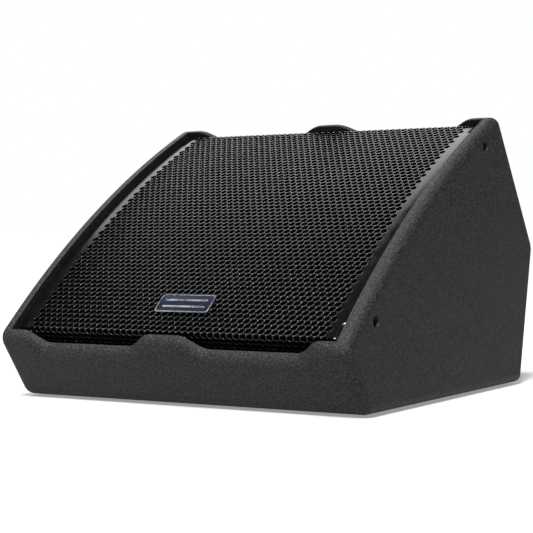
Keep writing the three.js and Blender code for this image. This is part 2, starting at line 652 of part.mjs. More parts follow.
// Rocker switch: a bezel with an open well, and a rocker on a cross pivot.
const ROCKER = { pivotDepth: 6, halfWidth: 5.6, halfLength: 8.6, restTilt: THREE.MathUtils.degToRad(7) };

function rockerFrame() {
  const { halfWidth, halfHeight } = ROCKER_OPENING;
  const top = FACE_GAP + 1.8;
  return shaped(prism(roundedRectangle(halfWidth + 2, halfHeight + 2, 1.5), FACE_GAP, top), {
    add: [box(-halfWidth, halfWidth, -halfHeight, halfHeight, -22, FACE_GAP + 1)],
    cut: [box(-6.1, 6.1, -9.8, 9.8, -23, top + 2)],
  });
}

// Profile in YZ about the pivot, symmetric; the two top faces meet in a shallow valley.
function rocker() {
  const { halfLength, halfWidth } = ROCKER;
  const points = [
    at(-halfLength, -3), at(-4, -8), at(4, -8), at(halfLength, -3),
    at(halfLength, 7.2), at(0, 5.6), at(-halfLength, 7.2),
  ];
  return across(points, -halfWidth, halfWidth);
}
place('rocker_frame', rockerFrame(), MOULDED_BLACK, rear).position.set(...SPOTS.rocker, 0);
const rockerMesh = place('power_rocker', rocker(), MOULDED_BLACK, rear);
rockerMesh.position.set(...SPOTS.rocker, FACE - ROCKER.pivotDepth);
rockerMesh.rotation.x = ROCKER.restTilt;

place('level_knob', turned([
  [0, 8], [7.4, 8], [8.6, 7], [9.2, FACE + 1], [KNOB_SHAFT + FIT_GAP, FACE + 1],
  [KNOB_SHAFT + FIT_GAP, 6.5], [0, 6.5],
], 24), MOULDED_BLACK, rear).position.set(...SPOTS.knob, 0);
place('level_shaft', cylinder(KNOB_SHAFT, -19, 6.2, 12), ZINC, rear).position.set(...SPOTS.knob, 0);
place('level_pot', tube(KNOB_SHAFT + FIT_GAP, 8.5, -22, FACE - AMP.thickness - FIT_GAP, 20), BLACK_STEEL, rear)
  .position.set(...SPOTS.knob, 0);
for (const name of ['button1', 'button2']) {
  const cap = turned([[0, -14], [BUTTON_RADIUS, -14], [BUTTON_RADIUS, -2.6], [BUTTON_RADIUS - 0.6, -2], [0, -2]], 16);
  place(`push_${name}`.replace('button', 'button_'), cap, MOULDED_BLACK, rear).position.set(...SPOTS[name], 0);
}
place('status_lens', turned([[0, -12], [LENS_RADIUS, -12], [LENS_RADIUS, FACE + 0.4], [1.6, FACE + 1], [0, FACE + 1]], 12),
  LENS_GREEN, rear).position.set(...SPOTS.lens, 0);

const BOARD = { halfWidth: 147, halfHeight: 61, front: -34.6, thickness: 1.6 };
const boardFront = FACE - AMP.thickness - STANDOFF.length - FIT_GAP;
place('amp_circuit_board', box(-BOARD.halfWidth, BOARD.halfWidth, -BOARD.halfHeight, BOARD.halfHeight,
  boardFront - BOARD.thickness - 2, boardFront - 2), BOARD_GREEN, rear);
place('power_transformer', moved(turned([
  [16, 0], [46, 0], [52, -6], [52, -26], [46, -32], [16, -32], [13, -28], [13, -4],
], 28), 78, 0, boardFront - BOARD.thickness - 2 - FIT_GAP), COPPER, rear);

// ---------- Handle, z = 0 on the rear upper face ----------
function handleCup() {
  const { halfWidth, halfHeight, depth, wall, flange } = HANDLE;
  const outerX = halfWidth - FIT_GAP;
  const outerY = halfHeight - FIT_GAP;
  const rim = prism(roundedRectangle(halfWidth + flange, halfHeight + flange, 12), FIT_GAP, FIT_GAP + wall);
  return shaped(rim, {
    add: [box(-outerX, outerX, -outerY, outerY, -depth, FIT_GAP + 1)],
    cut: [box(-outerX + wall, outerX - wall, -outerY + wall, outerY - wall, -depth + wall, FIT_GAP + wall + 2)],
  });
}
place('handle_cup', handleCup(), MOULDED_BLACK, back);
const gripHalf = HANDLE.halfWidth - HANDLE.wall - 2 * FIT_GAP;
const grip = cylinder(HANDLE.grip, -gripHalf, gripHalf, 20).rotateY(Math.PI / 2);
place('handle_grip', grip, RUBBER, back).position.set(0, HANDLE.halfHeight - 22, -13);

export default wedge;
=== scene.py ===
"""Stage monitor wedge: the visual model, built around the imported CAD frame."""
import math
import random

import bmesh
import bpy
from mathutils import Matrix, Vector
from mathutils.geometry import delaunay_2d_cdt


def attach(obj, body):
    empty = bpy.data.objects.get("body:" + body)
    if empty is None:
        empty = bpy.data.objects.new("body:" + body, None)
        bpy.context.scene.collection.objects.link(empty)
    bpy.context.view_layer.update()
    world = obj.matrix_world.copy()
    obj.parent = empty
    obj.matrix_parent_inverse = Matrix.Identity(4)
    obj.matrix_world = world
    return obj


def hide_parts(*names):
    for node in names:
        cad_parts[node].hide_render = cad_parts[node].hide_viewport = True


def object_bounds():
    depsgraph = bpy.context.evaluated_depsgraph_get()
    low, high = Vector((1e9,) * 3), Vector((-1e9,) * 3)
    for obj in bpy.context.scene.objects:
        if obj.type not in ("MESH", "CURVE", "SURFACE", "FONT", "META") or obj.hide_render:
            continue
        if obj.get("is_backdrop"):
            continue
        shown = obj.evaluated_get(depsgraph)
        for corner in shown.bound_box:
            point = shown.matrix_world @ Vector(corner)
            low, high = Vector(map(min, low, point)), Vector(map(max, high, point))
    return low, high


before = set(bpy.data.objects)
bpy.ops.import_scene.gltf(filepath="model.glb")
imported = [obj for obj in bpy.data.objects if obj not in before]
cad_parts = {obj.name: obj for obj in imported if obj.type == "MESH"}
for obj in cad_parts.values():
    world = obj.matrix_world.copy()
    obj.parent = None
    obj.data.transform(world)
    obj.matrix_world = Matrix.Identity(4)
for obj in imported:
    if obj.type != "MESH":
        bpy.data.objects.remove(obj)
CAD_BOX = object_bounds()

MM = 0.001


def at(y, z):
    """A point of the side profile, or of a flat outline."""
    return Vector((y, z))


def polar(radius, angle):
    return radius * math.cos(angle), radius * math.sin(angle)


def spun(x, y, angle):
    """A point turned about the origin."""
    c, s = math.cos(angle), math.sin(angle)
    return x * c - y * s, x * s + y * c


def four_corners(x, y):
    """A rectangle around the origin, counterclockwise."""
    return [(-x, -y), (x, -y), (x, y), (-x, y)]


# ---- side profile, mm in (Y, Z) ----
HALF_WIDTH = 280.0
INNER_X = 260.0
ROUNDOVER = 14.0
FOOT_HEIGHT = 3.0
CHORD = 552.1
HALF_CHORD = CHORD / 2
TILT = math.radians(34.0)
FRONT_RADIUS = 1587.0
ALONG = at(math.cos(TILT), math.sin(TILT))
OUTWARD = at(-ALONG.y, ALONG.x)
LIP_FOOT = at(-234.7, FOOT_HEIGHT)
LIP_TOP = LIP_FOOT + OUTWARD * 103.2
HEEL = at(LIP_FOOT.x + 480.9, FOOT_HEIGHT)
LIP_THICKNESS = 15.0
PANEL = 15.0
RADII = {"lip_foot": 20.0, "lip_top": 20.0, "apex": 15.0, "rear": 26.0, "heel": 10.0}
EDGE = 1.2
WAVE_DEPTH = 21.0
FRONT_WAVE = (22.0, 66.0, 197.0, 237.0)
REAR_WAVE = (12.0, 70.0, 190.0, 242.0)


def on_chord(s, n):
    return LIP_TOP + ALONG * s + OUTWARD * n


APEX = on_chord(CHORD, 0)
REAR = on_chord(CHORD - 2.0, -230.2)
REAR_UP = (REAR - HEEL).normalized()
REAR_OUT = at(REAR_UP.y, -REAR_UP.x)
TOP_DOWN = (REAR - APEX).normalized()
TOP_OUT = at(-TOP_DOWN.y, TOP_DOWN.x)


def on_rear(v, d):
    return HEEL + REAR_UP * v + REAR_OUT * d


def on_rear_top(v, d):
    return APEX + TOP_DOWN * v + TOP_OUT * d


def cross2(a, b):
    return a.x * b.y - a.y * b.x


def crossing(p, u, q, w):
    return p + u * (cross2(q - p, w) / cross2(u, w))


def arch(s, depth=0.0):
    centre = math.sqrt(FRONT_RADIUS ** 2 - HALF_CHORD ** 2)
    return math.sqrt((FRONT_RADIUS - depth) ** 2 - (s - HALF_CHORD) ** 2) - centre


def chord_line_at(s, z):
    return crossing(on_chord(s, 0), OUTWARD, at(0, z), at(1, 0))


def rear_line_at(z, d):
    return crossing(on_rear(0, d), REAR_UP, at(0, z), at(1, 0))


def rear_edge(d_top, d):
    return crossing(on_rear_top(0, d_top), TOP_DOWN, on_rear(0, d), REAR_UP)


def frame_of(origin, facing, up):
    """A placement whose +Z points along facing and +Y along up, both in the side profile."""
    z = Vector((0, facing.x, facing.y))
    y = Vector((0, up.x, up.y))
    x = y.cross(z)
    turn = Matrix((x, y, z)).transposed().to_4x4()
    return Matrix.Translation(Vector((0, origin.x, origin.y)) * MM) @ turn


WORLD = Matrix.Identity(4)
AMP_CENTRE = 101.0
HANDLE_BELOW = 118.0
REAR_FRAME = frame_of(on_rear(AMP_CENTRE, 0), REAR_OUT, REAR_UP)
HANDLE_FRAME = frame_of(on_rear_top(HANDLE_BELOW, 0), TOP_OUT, -TOP_DOWN)


def shifted(base, x, y, z=0.0):
    return base @ Matrix.Translation(Vector((x, y, z)) * MM)


# ---- outlines ----
def rounded_corner(before, corner, after, radius, steps=8):
    if radius < 0.01:
        return [corner.copy()]
    a = (before - corner).normalized()
    b = (after - corner).normalized()
    half = math.acos(max(-1, min(1, a.dot(b)))) / 2
    centre = corner + (a + b).normalized() * (radius / math.sin(half))
    start = corner + a * (radius / math.tan(half)) - centre
    end = corner + b * (radius / math.tan(half)) - centre
    sweep = math.atan2(cross2(start, end), start.dot(end))
    return [at(*spun(start.x, start.y, sweep * i / steps)) + centre for i in range(steps + 1)]


def outline(corners, steps=8):
    count = len(corners)
    points = []
    for i, (point, radius) in enumerate(corners):
        before = corners[i - 1][0]
        after = corners[(i + 1) % count][0]
        points += rounded_corner(before, point, after, radius, steps)
    return points


def across(x, points):
    """A profile's points, placed at x."""
    return [(x, p.x, p.y) for p in points]


def level(points, z):
    """A flat outline's points, placed at height z."""
    return [(p.x, p.y, z) for p in points]


def arch_points(start, end, depth, steps):
    return [on_chord(s, arch(s, depth)) for s in
            (start + (end - start) * i / steps for i in range(steps + 1))]


def rounded_rectangle(half_width, half_height, radius, steps=8):
    return outline([(at(x, y), radius) for x, y in four_corners(half_width, half_height)], steps)


def circle(radius, x=0.0, y=0.0, steps=32):
    return [at(x + radius * math.cos(math.tau * i / steps), y + radius * math.sin(math.tau * i / steps))
            for i in range(steps)]


# ---- meshes ----
class Soup:
    """Vertices and faces gathered in mm, then turned into one object."""

    def __init__(self):
        self.verts = []
        self.faces = []

    def add(self, verts, faces, shift=(0, 0, 0)):
        base = len(self.verts)
        self.verts += [(v[0] + shift[0], v[1] + shift[1], v[2] + shift[2]) for v in verts]
        self.faces += [tuple(base + i for i in face) for face in faces]
        return self

    def make(self, name, material, place=WORLD, sharp=35, weld=0.002, bevel=0.0):
        mesh = bpy.data.meshes.new(name)
        mesh.from_pydata([(x * MM, y * MM, z * MM) for x, y, z in self.verts], [], self.faces)
        bm = bmesh.new()
        bm.from_mesh(mesh)
        if weld:
            bmesh.ops.remove_doubles(bm, verts=bm.verts, dist=weld * MM)
        bmesh.ops.recalc_face_normals(bm, faces=bm.faces)
        bm.to_mesh(mesh)
        bm.free()
        mesh.validate()
        obj = bpy.data.objects.new(name, mesh)
        bpy.context.scene.collection.objects.link(obj)
        obj.matrix_world = place
        mesh.materials.append(material)
        mesh.shade_smooth()
        mesh.set_sharp_from_angle(angle=math.radians(sharp))
        if bevel:
            modifier = obj.modifiers.new("edge", "BEVEL")
            modifier.width = bevel * MM
            modifier.segments = 2
            modifier.limit_method = "ANGLE"
            modifier.angle_limit = math.radians(sharp)
            modifier.harden_normals = True
        return obj


def lofted(rings, cap_start=True, cap_end=True):
    """Rings of 3-D points with equal counts, joined in order."""
    count = len(rings[0])
    verts = [p for ring in rings for p in ring]
    faces = []
    for a in range(0, (len(rings) - 1) * count, count):
        for i in range(count):
            j = (i + 1) % count
            faces.append((a + i, a + count + i, a + count + j, a + j))
    if cap_start:
        faces.append(tuple(range(count))[::-1])
    if cap_end:
        base = (len(rings) - 1) * count
        faces.append(tuple(base + i for i in range(count)))
    return verts, faces


def lathe(profile, segments=48):
    """A closed [radius, z] profile turned about Z."""
    verts, faces = [], []
    count = len(profile)
    for k in range(segments):
        angle = math.tau * k / segments
        verts += [(*polar(r, angle), z) for r, z in profile]
    for k in range(segments):
        a, b = k * count, ((k + 1) % segments) * count
        for i in range(count):
            j = (i + 1) % count
            on_axis_i, on_axis_j = profile[i][0] < 1e-6, profile[j][0] < 1e-6
            if on_axis_i and on_axis_j:
                continue
            if on_axis_i:
                faces.append((a + i, a + j, b + j))
            elif on_axis_j:
                faces.append((a + i, a + j, b + i))
            else:
                faces.append((a + i, a + j, b + j, b + i))
    return verts, faces


def tube(inner, outer, z0, z1, segments=48, chamfer=0.4):
    c = chamfer
    return lathe([(inner, z0 + c), (inner + c, z0), (outer - c, z0), (outer, z0 + c),
                  (outer, z1 - c), (outer - c, z1), (inner + c, z1), (inner, z1 - c)], segments)


def rod(radius, z0, z1, segments=32, chamfer=0.3):
    c = chamfer
    return lathe([(0, z0), (radius - c, z0), (radius, z0 + c), (radius, z1 - c), (radius - c, z1), (0, z1)],
                 segments)


def offset_loop(loop, distance):
    """Moves a closed loop to its left by distance, mitred."""
    count = len(loop)
    moved = []
    for i, p in enumerate(loop):
        a = (p - loop[i - 1]).normalized()
        b = (loop[(i + 1) % count] - p).normalized()
        na, nb = at(-a.y, a.x), at(-b.y, b.x)
        n = (na + nb).normalized()
        moved.append(p + n * (distance / max(0.3, n.dot(na))))
    return moved


def loop_area(loop):
    return sum(cross2(loop[i - 1], loop[i]) for i in range(len(loop))) / 2


def turned_loops(loops):
    """The outline runs counterclockwise and each hole clockwise."""
    loops = [list(loop) for loop in loops]
    for i, loop in enumerate(loops):
        if (loop_area(loop) > 0) != (i == 0):
            loop.reverse()
    return loops


def filled(loops):
    """Triangles for an outline with holes."""
    loops = turned_loops(loops)
    flat = [p for loop in loops for p in loop]
    faces, base = [], 0
    for loop in loops:
        faces.append(list(range(base, base + len(loop))))
        base += len(loop)
    out = delaunay_2d_cdt(flat, [], faces, 2, 1e-5)
    return out[0], [tuple(face) for face in out[2]]


def plate(loops, z0, z1, chamfer=0.4):
    """A flat plate: the first loop is its outline and the rest are holes. The top edges are chamfered."""
    loops = turned_loops(loops)
    soup = Soup()
    for height in (z1, z0):
        shape = [offset_loop(loop, chamfer) if height == z1 and chamfer else loop for loop in loops]
        points, faces = filled(shape)
        soup.add(level(points, height), faces)
    for loop in loops:
        levels = [(loop, z0), (loop, z1 - chamfer)]
        if chamfer:
            levels.append((offset_loop(loop, chamfer), z1))
        rings = [level(ring, z) for ring, z in levels]
        soup.add(*lofted(rings, False, False))
    return soup.verts, soup.faces


def box(x0, x1, y0, y1, z0, z1):
    v = [(x, y, z) for z in (z0, z1) for y in (y0, y1) for x in (x0, x1)]
    f = [(0, 2, 3, 1), (4, 5, 7, 6), (0, 1, 5, 4), (2, 6, 7, 3), (0, 4, 6, 2), (1, 3, 7, 5)]
    return v, f


def piece(soup, name, material, slot, *replaced, body="cabinet", place=WORLD, **look):
    """One object that rides on a body and stands for the CAD nodes named in replaced."""
    obj = soup.make(name, material, place, **look)
    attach(obj, body)
    if replaced:
        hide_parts(*replaced)
    return obj


# ---- materials ----
class Nodes:
    """Small helper for building a node material."""

    def __init__(self, name):
        self.material = bpy.data.materials.new(name)
        self.material.use_nodes = True
        self.tree = self.material.node_tree
        self.tree.nodes.clear()
        self.out = self.node("ShaderNodeOutputMaterial")
        self.shader = self.node("ShaderNodeBsdfPrincipled")
        self.link(self.shader, "BSDF", self.out, "Surface")
        self.coords = self.node("ShaderNodeTexCoord")

    def node(self, kind, **settings):
        node = self.tree.nodes.new(kind)
        for key, value in settings.items():
            if hasattr(node, key):
                setattr(node, key, value)
            else:
                node.inputs[key.replace("_", " ")].default_value = value
        return node

    def link(self, a, out, b, into):
        self.tree.links.new(a.outputs[out], b.inputs[into])

    def set(self, **values):
        for key, value in values.items():
            self.shader.inputs[key.replace("_", " ")].default_value = value

    def noise(self, scale, detail=4.0, roughness=0.55, stretch=None):
        node = self.node("ShaderNodeTexNoise", Scale=scale, Detail=detail, Roughness=roughness)
        if stretch:
            mapping = self.node("ShaderNodeMapping", Scale=stretch)
            self.link(self.coords, "Object", mapping, "Vector")
            self.link(mapping, "Vector", node, "Vector")
        else:
            self.link(self.coords, "Object", node, "Vector")
        return node

    def voronoi(self, scale, feature="F1", randomness=1.0):
        node = self.node("ShaderNodeTexVoronoi", feature=feature, Scale=scale, Randomness=randomness)
        self.link(self.coords, "Object", node, "Vector")
        return node

    def ramp(self, source, output, stops):
        node = self.node("ShaderNodeValToRGB")
        elements = node.color_ramp.elements
        elements[0].position, elements[0].color = stops[0][0], stops[0][1]
        elements[1].position, elements[1].color = stops[-1][0], stops[-1][1]
        for position, colour in stops[1:-1]:
            element = elements.new(position)
            element.color = colour
        self.link(source, output, node, "Fac")
        return node

    def spread(self, source, output, low, high, from_low=0.3, from_high=0.7):
        node = self.node("ShaderNodeMapRange", From_Min=from_low, From_Max=from_high, To_Min=low, To_Max=high)
        self.link(source, output, node, "Value")
        return node

    def sum(self, a, a_out, b, b_out, share):
        """a + b * share"""
        node = self.node("ShaderNodeMath", operation="MULTIPLY_ADD")
        self.link(b, b_out, node, 0)
        node.inputs[1].default_value = share
        self.link(a, a_out, node, 2)
        return node

    def roughness(self, source, low, high):
        spread = self.spread(source, "Fac", low, high)
        self.link(spread, "Result", self.shader, "Roughness")

    def colour(self, source, output, *stops):
        ramp = self.ramp(source, output, stops)
        self.link(ramp, "Color", self.shader, "Base Color")

    def bump(self, source, output, distance_mm, strength=1.0):
        node = self.node("ShaderNodeBump", Strength=strength, Distance=distance_mm * MM)
        self.link(source, output, node, "Height")
        self.link(node, "Normal", self.shader, "Normal")


def grey(value):
    return (value, value, value, 1.0)


def shade(colour, share=1.0):
    return tuple(min(1.0, c * share) for c in colour) + (1.0,)


def textured_paint():
    """Sprayed impact paint: tight rounded grains with a dull sheen; its colour speckle is painted light and
    shade on the grains.
    """
    n = Nodes("textured_paint")
    grains = n.voronoi(520.0)
    dome = n.spread(grains, "Distance", 1.0, 0.0, 0.0, 0.75)
    fine = n.noise(430.0, 3.0, 0.6)
    height = n.sum(dome, "Result", fine, "Fac", 1.2)
    n.bump(height, "Value", 0.5, 0.9)
    # the colour speckle is painted light and shade: light and dark flecks stand in for the glints and shading on
    # the grains
    n.colour(fine, "Fac", (0.38, shade((0.003, 0.0028, 0.0029))), (0.5, shade((0.0092, 0.0087, 0.0089))),
             (0.62, shade((0.031, 0.0293, 0.0302))))
    n.set(Roughness=0.6, Specular_IOR_Level=0.21)
    return n.material


def powder_coat(name, tone, low, high, bump=0.03, specular=0.5):
    """Thin satin powder coat with a slight orange peel."""
    n = Nodes(name)
    peel = n.noise(900.0, 2.0, 0.5)
    haze = n.noise(60.0, 3.0, 0.5)
    n.bump(peel, "Fac", bump, 0.5)
    n.roughness(haze, low, high)
    n.colour(haze, "Fac", (0.3, grey(tone * 0.85)), (0.7, grey(tone * 1.15)))
    n.set(Specular_IOR_Level=specular)
    return n.material


def moulded(name, colour, low=0.42, high=0.55, grain=700.0, bump=0.05, specular=0.5):
    """Moulded plastic with a fine spark-eroded grain."""
    n = Nodes(name)
    cells = n.voronoi(grain)
    n.bump(cells, "Distance", bump, 0.6)
    haze = n.noise(35.0, 3.0)
    n.roughness(haze, low, high)
    n.colour(haze, "Fac", (0.3, shade(colour, 0.88)), (0.7, shade(colour, 1.12)))
    n.set(Specular_IOR_Level=specular)
    return n.material


def metal(name, colour, low=0.25, high=0.4, stretch=(900.0, 900.0, 20.0), bump=0.01):
    """Machined or plated metal with fine directional marks."""
    n = Nodes(name)
    marks = n.noise(1.0, 4.0, 0.6, stretch)
    haze = n.noise(45.0, 3.0)
    n.bump(marks, "Fac", bump, 0.4)
    n.roughness(haze, low, high)
    n.colour(marks, "Fac", (0.3, shade(colour, 0.9)), (0.7, shade(colour, 1.08)))
    n.set(Metallic=1.0)
    return n.material


def rubber(name, tone):
    """Dull moulded rubber."""
    n = Nodes(name)
    specks = n.noise(1200.0, 3.0, 0.7)
    n.bump(specks, "Fac", 0.06, 0.6)
    haze = n.noise(50.0, 3.0)
    n.roughness(haze, 0.7, 0.88)
    n.colour(haze, "Fac", (0.3, grey(tone * 0.8)), (0.7, grey(tone * 1.25)))
    n.set(Specular_IOR_Level=0.35)
    return n.material


def foam(name, tone):
    """Open cell foam: pores over a soft matt ground, each pore painted darker as painted shade inside the cell.
    """
    n = Nodes(name)
    pores = n.voronoi(900.0)
    coarse = n.noise(160.0, 4.0, 0.6)
    height = n.sum(pores, "Distance", coarse, "Fac", 0.4)
    n.bump(height, "Value", 0.6, 1.0)
    # each pore is painted darker: painted shade inside the open cells
    n.colour(pores, "Distance", (0.1, grey(tone * 0.3)), (0.6, grey(tone)))
    n.set(Roughness=1.0, Specular_IOR_Level=0.0)
    return n.material


def cloth(name, dark, light):
    """Woven doped cloth: two crossed sets of threads."""
    n = Nodes(name)
    waves = []
    for direction in ("X", "Y"):
        wave = n.node("ShaderNodeTexWave", wave_type="BANDS", bands_direction=direction, Scale=1600.0 / math.tau)
        n.link(n.coords, "Object", wave, "Vector")
        waves.append(wave)
    weave = n.sum(waves[0], "Fac", waves[1], "Fac", 1.0)
    n.bump(weave, "Value", 0.12, 0.7)
    haze = n.noise(90.0, 3.0)
    n.colour(haze, "Fac", (0.3, shade(dark)), (0.7, shade(light)))
    n.set(Roughness=0.85)
    return n.material


def paper(name, tone):
    """Pressed pulp with short fibres."""
    n = Nodes(name)
    fibres = n.noise(500.0, 6.0, 0.75, (1.0, 1.0, 3.0))
    n.bump(fibres, "Fac", 0.15, 0.7)
    n.colour(fibres, "Fac", (0.35, grey(tone * 0.7)), (0.65, grey(tone * 1.3)))
    n.set(Roughness=0.8)
    return n.material


def circuit_board():
    """Green lacquer over a maze of tracks."""
    n = Nodes("circuit_board")
    tracks = n.voronoi(260.0, "DISTANCE_TO_EDGE", 0.35)
    n.colour(tracks, "Distance", (0.05, shade((0.03, 0.16, 0.07))), (0.14, shade((0.012, 0.075, 0.035))))
    n.bump(tracks, "Distance", 0.03, 0.5)
    n.set(Roughness=0.35)
    return n.material


def lens(name, colour):
    """A glossy coloured lens."""
    n = Nodes(name)
    haze = n.noise(300.0, 2.0)
    n.colour(haze, "Fac", (0.3, shade(colour, 0.8)), (0.7, shade(colour)))
    n.set(Roughness=0.12, Coat_Weight=0.6)
    return n.material


PAINT = textured_paint()
GRILLE_COAT = powder_coat("grille_powder_coat", 0.002, 0.15, 0.23, 0.02, 0.22)
BLACK_STEEL = powder_coat("black_oxide", 0.007, 0.34, 0.48, 0.03, 0.3)
ANODISED = powder_coat("black_anodising", 0.014, 0.38, 0.5, 0.015)
CASTING = powder_coat("coated_casting", 0.016, 0.5, 0.65, 0.12)
MOULDED = moulded("moulded_black", (0.012, 0.012, 0.013))
MOULDED_BLUE = moulded("moulded_blue", (0.012, 0.05, 0.22))
MOULDED_GREY = moulded("moulded_grey", (0.22, 0.23, 0.24))
ZINC = metal("zinc_plate", (0.55, 0.56, 0.58))
SILVER = metal("badge_silver", (0.62, 0.63, 0.66), 0.22, 0.34)
BADGE_NAVY = moulded("badge_enamel", (0.004, 0.0055, 0.016), 0.3, 0.4, 900.0, 0.01, 0.12)
MAGNET = metal("ferrite", (0.08, 0.08, 0.09), 0.5, 0.65)
COPPER = metal("copper_winding", (0.62, 0.24, 0.1), 0.3, 0.42, (40.0, 40.0, 2500.0), 0.15)
RUBBER = rubber("rubber_black", 0.012)
FOAM = foam("foam_black", 0.0015)
WADDING = foam("wadding", 0.5)
SURROUND_CLOTH = cloth("surround_cloth", (0.010, 0.010, 0.010), (0.018, 0.018, 0.018))
SPIDER_CLOTH = cloth("spider_cloth", (0.36, 0.25, 0.07), (0.5, 0.36, 0.12))
PULP = paper("cone_pulp", 0.014)
BOARD = circuit_board()
LENS_GREEN = lens("lens_green", (0.12, 0.55, 0.2))
PRINT = powder_coat("panel_print", 0.6, 0.5, 0.6, 0.0)

# ---- cabinet ----
SCREW_SPOTS = {"lower": on_chord(79.8, -16.5), "upper": on_chord(483.2, -11.7)}
COUNTERBORE = 7.5
COUNTERBORE_DEPTH = 11.0


def side_outline(inset):
    """The side wall's outline, drawn in by inset."""
    foot = chord_line_at(inset, FOOT_HEIGHT + inset)
    lip = on_chord(inset, arch(inset, inset))
    top = on_chord(CHORD - inset, arch(CHORD - inset, inset))
    rear = rear_edge(-inset, -inset)
    base = rear_line_at(FOOT_HEIGHT + inset, -inset)
    after_lip = on_chord(inset + 8, arch(inset + 8, inset))
    before_top = on_chord(CHORD - inset - 8, arch(CHORD - inset - 8, inset))
    reach = ROUNDOVER + 4
    corner = {name: max(radius - inset, 0.4) for name, radius in RADII.items()}
    return (rounded_corner(base, foot, lip, corner["lip_foot"], 10)
            + rounded_corner(foot, lip, after_lip, corner["lip_top"], 10)
            + arch_points(inset + reach, CHORD - inset - reach, inset, 60)
            + rounded_corner(before_top, top, rear, corner["apex"], 8)
            + rounded_corner(top, rear, base, corner["rear"], 16)
            + rounded_corner(rear, base, foot, corner["heel"], 8))


def side_panel(sign):
    """A side wall whose outer edges are rounded over, with the counterbores for the grille screws."""
    soup = Soup()
    insets = [(INNER_X, 0.0)]
    steps = 10
    for i in range(steps + 1):
        angle = math.pi / 2 * i / steps
        insets.append((HALF_WIDTH - ROUNDOVER * (1 - math.sin(angle)), ROUNDOVER * (1 - math.cos(angle))))
    loops = [(x, side_outline(inset)) for x, inset in insets]
    soup.add(*lofted([across(sign * x, loop) for x, loop in loops], True, False))
    holes = []
    for spot in SCREW_SPOTS.values():
        bore = [(COUNTERBORE + 0.5, HALF_WIDTH), (COUNTERBORE, HALF_WIDTH - 0.6),
                (COUNTERBORE, HALF_WIDTH - COUNTERBORE_DEPTH)]
        rings = [across(sign * x, circle(r, spot.x, spot.y, 40)) for r, x in bore]
        soup.add(*lofted(rings, False, True))
        holes.append(circle(COUNTERBORE + 0.5, spot.x, spot.y, 40))
    points, faces = filled([loops[-1][1]] + holes)
    soup.add(across(sign * HALF_WIDTH, points), faces)
    name = "side_panel_right" if sign > 0 else "side_panel_left"
    piece(soup, "painted_" + name, PAINT, "cabinet_paint", name, sharp=40)


def wave_drop(x, wave):
    """How far a wavy edge lies below its raised parts, from 0 to 1, at x."""
    x = abs(x)
    crest, foot, rise, shoulder = wave
    if x <= crest or x >= shoulder:
        return 0.0
    if foot <= x <= rise:
        return 1.0
    share = (x - crest) / (foot - crest) if x < foot else (shoulder - x) / (shoulder - rise)
    return (1 - math.cos(math.pi * share)) / 2


def wave_stations(wave):
    """The places along X where a wavy edge needs a section."""
    crest, foot, rise, shoulder = wave
    half = [0.0, crest / 2]
    half += [crest + (foot - crest) * i / 24 for i in range(25)]
    half += [foot + (rise - foot) * i / 10 for i in range(1, 11)]
    half += [rise + (shoulder - rise) * i / 24 for i in range(1, 25)]
    half += [(shoulder + INNER_X) / 2, INNER_X]
    return sorted({-x for x in half} | set(half))


def front_lip():
    """The wavy front lip: its section changes height along X."""
    rings = []
    for x in wave_stations(FRONT_WAVE):
        drop = WAVE_DEPTH * wave_drop(x, FRONT_WAVE)
        inner_foot = chord_line_at(LIP_THICKNESS, FOOT_HEIGHT)
        inner = on_chord(LIP_THICKNESS, arch(LIP_THICKNESS) - drop)
        corner = on_chord(0, -drop)
        nose = rounded_corner(inner, corner, LIP_FOOT, RADII["lip_top"], 12)
        nose = [p for p in nose if (p - LIP_TOP).dot(ALONG) < LIP_THICKNESS - EDGE - 0.3]
        section = (rounded_corner(corner, LIP_FOOT, inner_foot, RADII["lip_foot"], 10) + [inner_foot]
                   + rounded_corner(inner_foot, inner, corner, EDGE, 6) + nose)
        rings.append(across(x, section))
    piece(Soup().add(*lofted(rings)), "painted_front_lip", PAINT, "cabinet_paint", "front_lip_panel", sharp=50)


def opened(verts, faces, count, *openings):
    """The faces of a panel lofted along X, less those in an opening, which is given by the two columns of
    the section that it lies between and by its half width."""
    kept = []
    for face in faces:
        columns = {i % count for i in face}
        reach = max(abs(verts[i][0]) for i in face)
        if not any(columns == between and reach <= half + 0.01 for between, half in openings):
            kept.append(face)
    return kept


def rear_top():
    """The wavy rear top panel, with the opening for the handle."""
    hole_half, v0, v1 = 92.0, HANDLE_BELOW - 46.0, HANDLE_BELOW + 46.0
    lift = arch(CHORD - PANEL)
    stations = sorted(set(wave_stations(REAR_WAVE)) | {-hole_half, hole_half})
    rings = []
    for x in stations:
        drop = WAVE_DEPTH * wave_drop(x, REAR_WAVE)
        outer_top, inner_top = on_rear_top(drop, 0), on_rear_top(drop - lift, -PANEL)
        section = (rounded_corner(on_rear_top(v0, 0), outer_top, inner_top, RADII["apex"], 8)
                   + rounded_corner(outer_top, inner_top, on_rear_top(v0, -PANEL), EDGE, 8)
                   + [on_rear_top(v0, -PANEL), on_rear_top(v1, -PANEL), rear_edge(-PANEL, 0)]
                   + rounded_corner(HEEL, REAR, APEX, RADII["rear"], 16)
                   + [on_rear_top(v1, 0), on_rear_top(v0, 0)])
        rings.append(across(x, section))
    verts, faces = lofted(rings)
    count = len(rings[0])
    # each section starts with two rounded corners of nine points
    inner_a, outer_a, outer_b = 2 * 9, count - 2, count - 1
    kept = opened(verts, faces, count, ({inner_a, inner_a + 1}, hole_half), ({outer_a, outer_b}, hole_half))
    inside = [k for k, x in enumerate(stations) if abs(x) <= hole_half + 0.01]
    for k in inside[:-1]:
        for a, b in ((inner_a, outer_b), (inner_a + 1, outer_a)):
            kept.append((k * count + a, k * count + b, (k + 1) * count + b, (k + 1) * count + a))
    for k in (inside[0], inside[-1]):
        kept.append(tuple(k * count + i for i in (inner_a, inner_a + 1, outer_a, outer_b)))
    piece(Soup().add(verts, kept), "painted_rear_top", PAINT, "cabinet_paint", "rear_upper_panel", sharp=50)


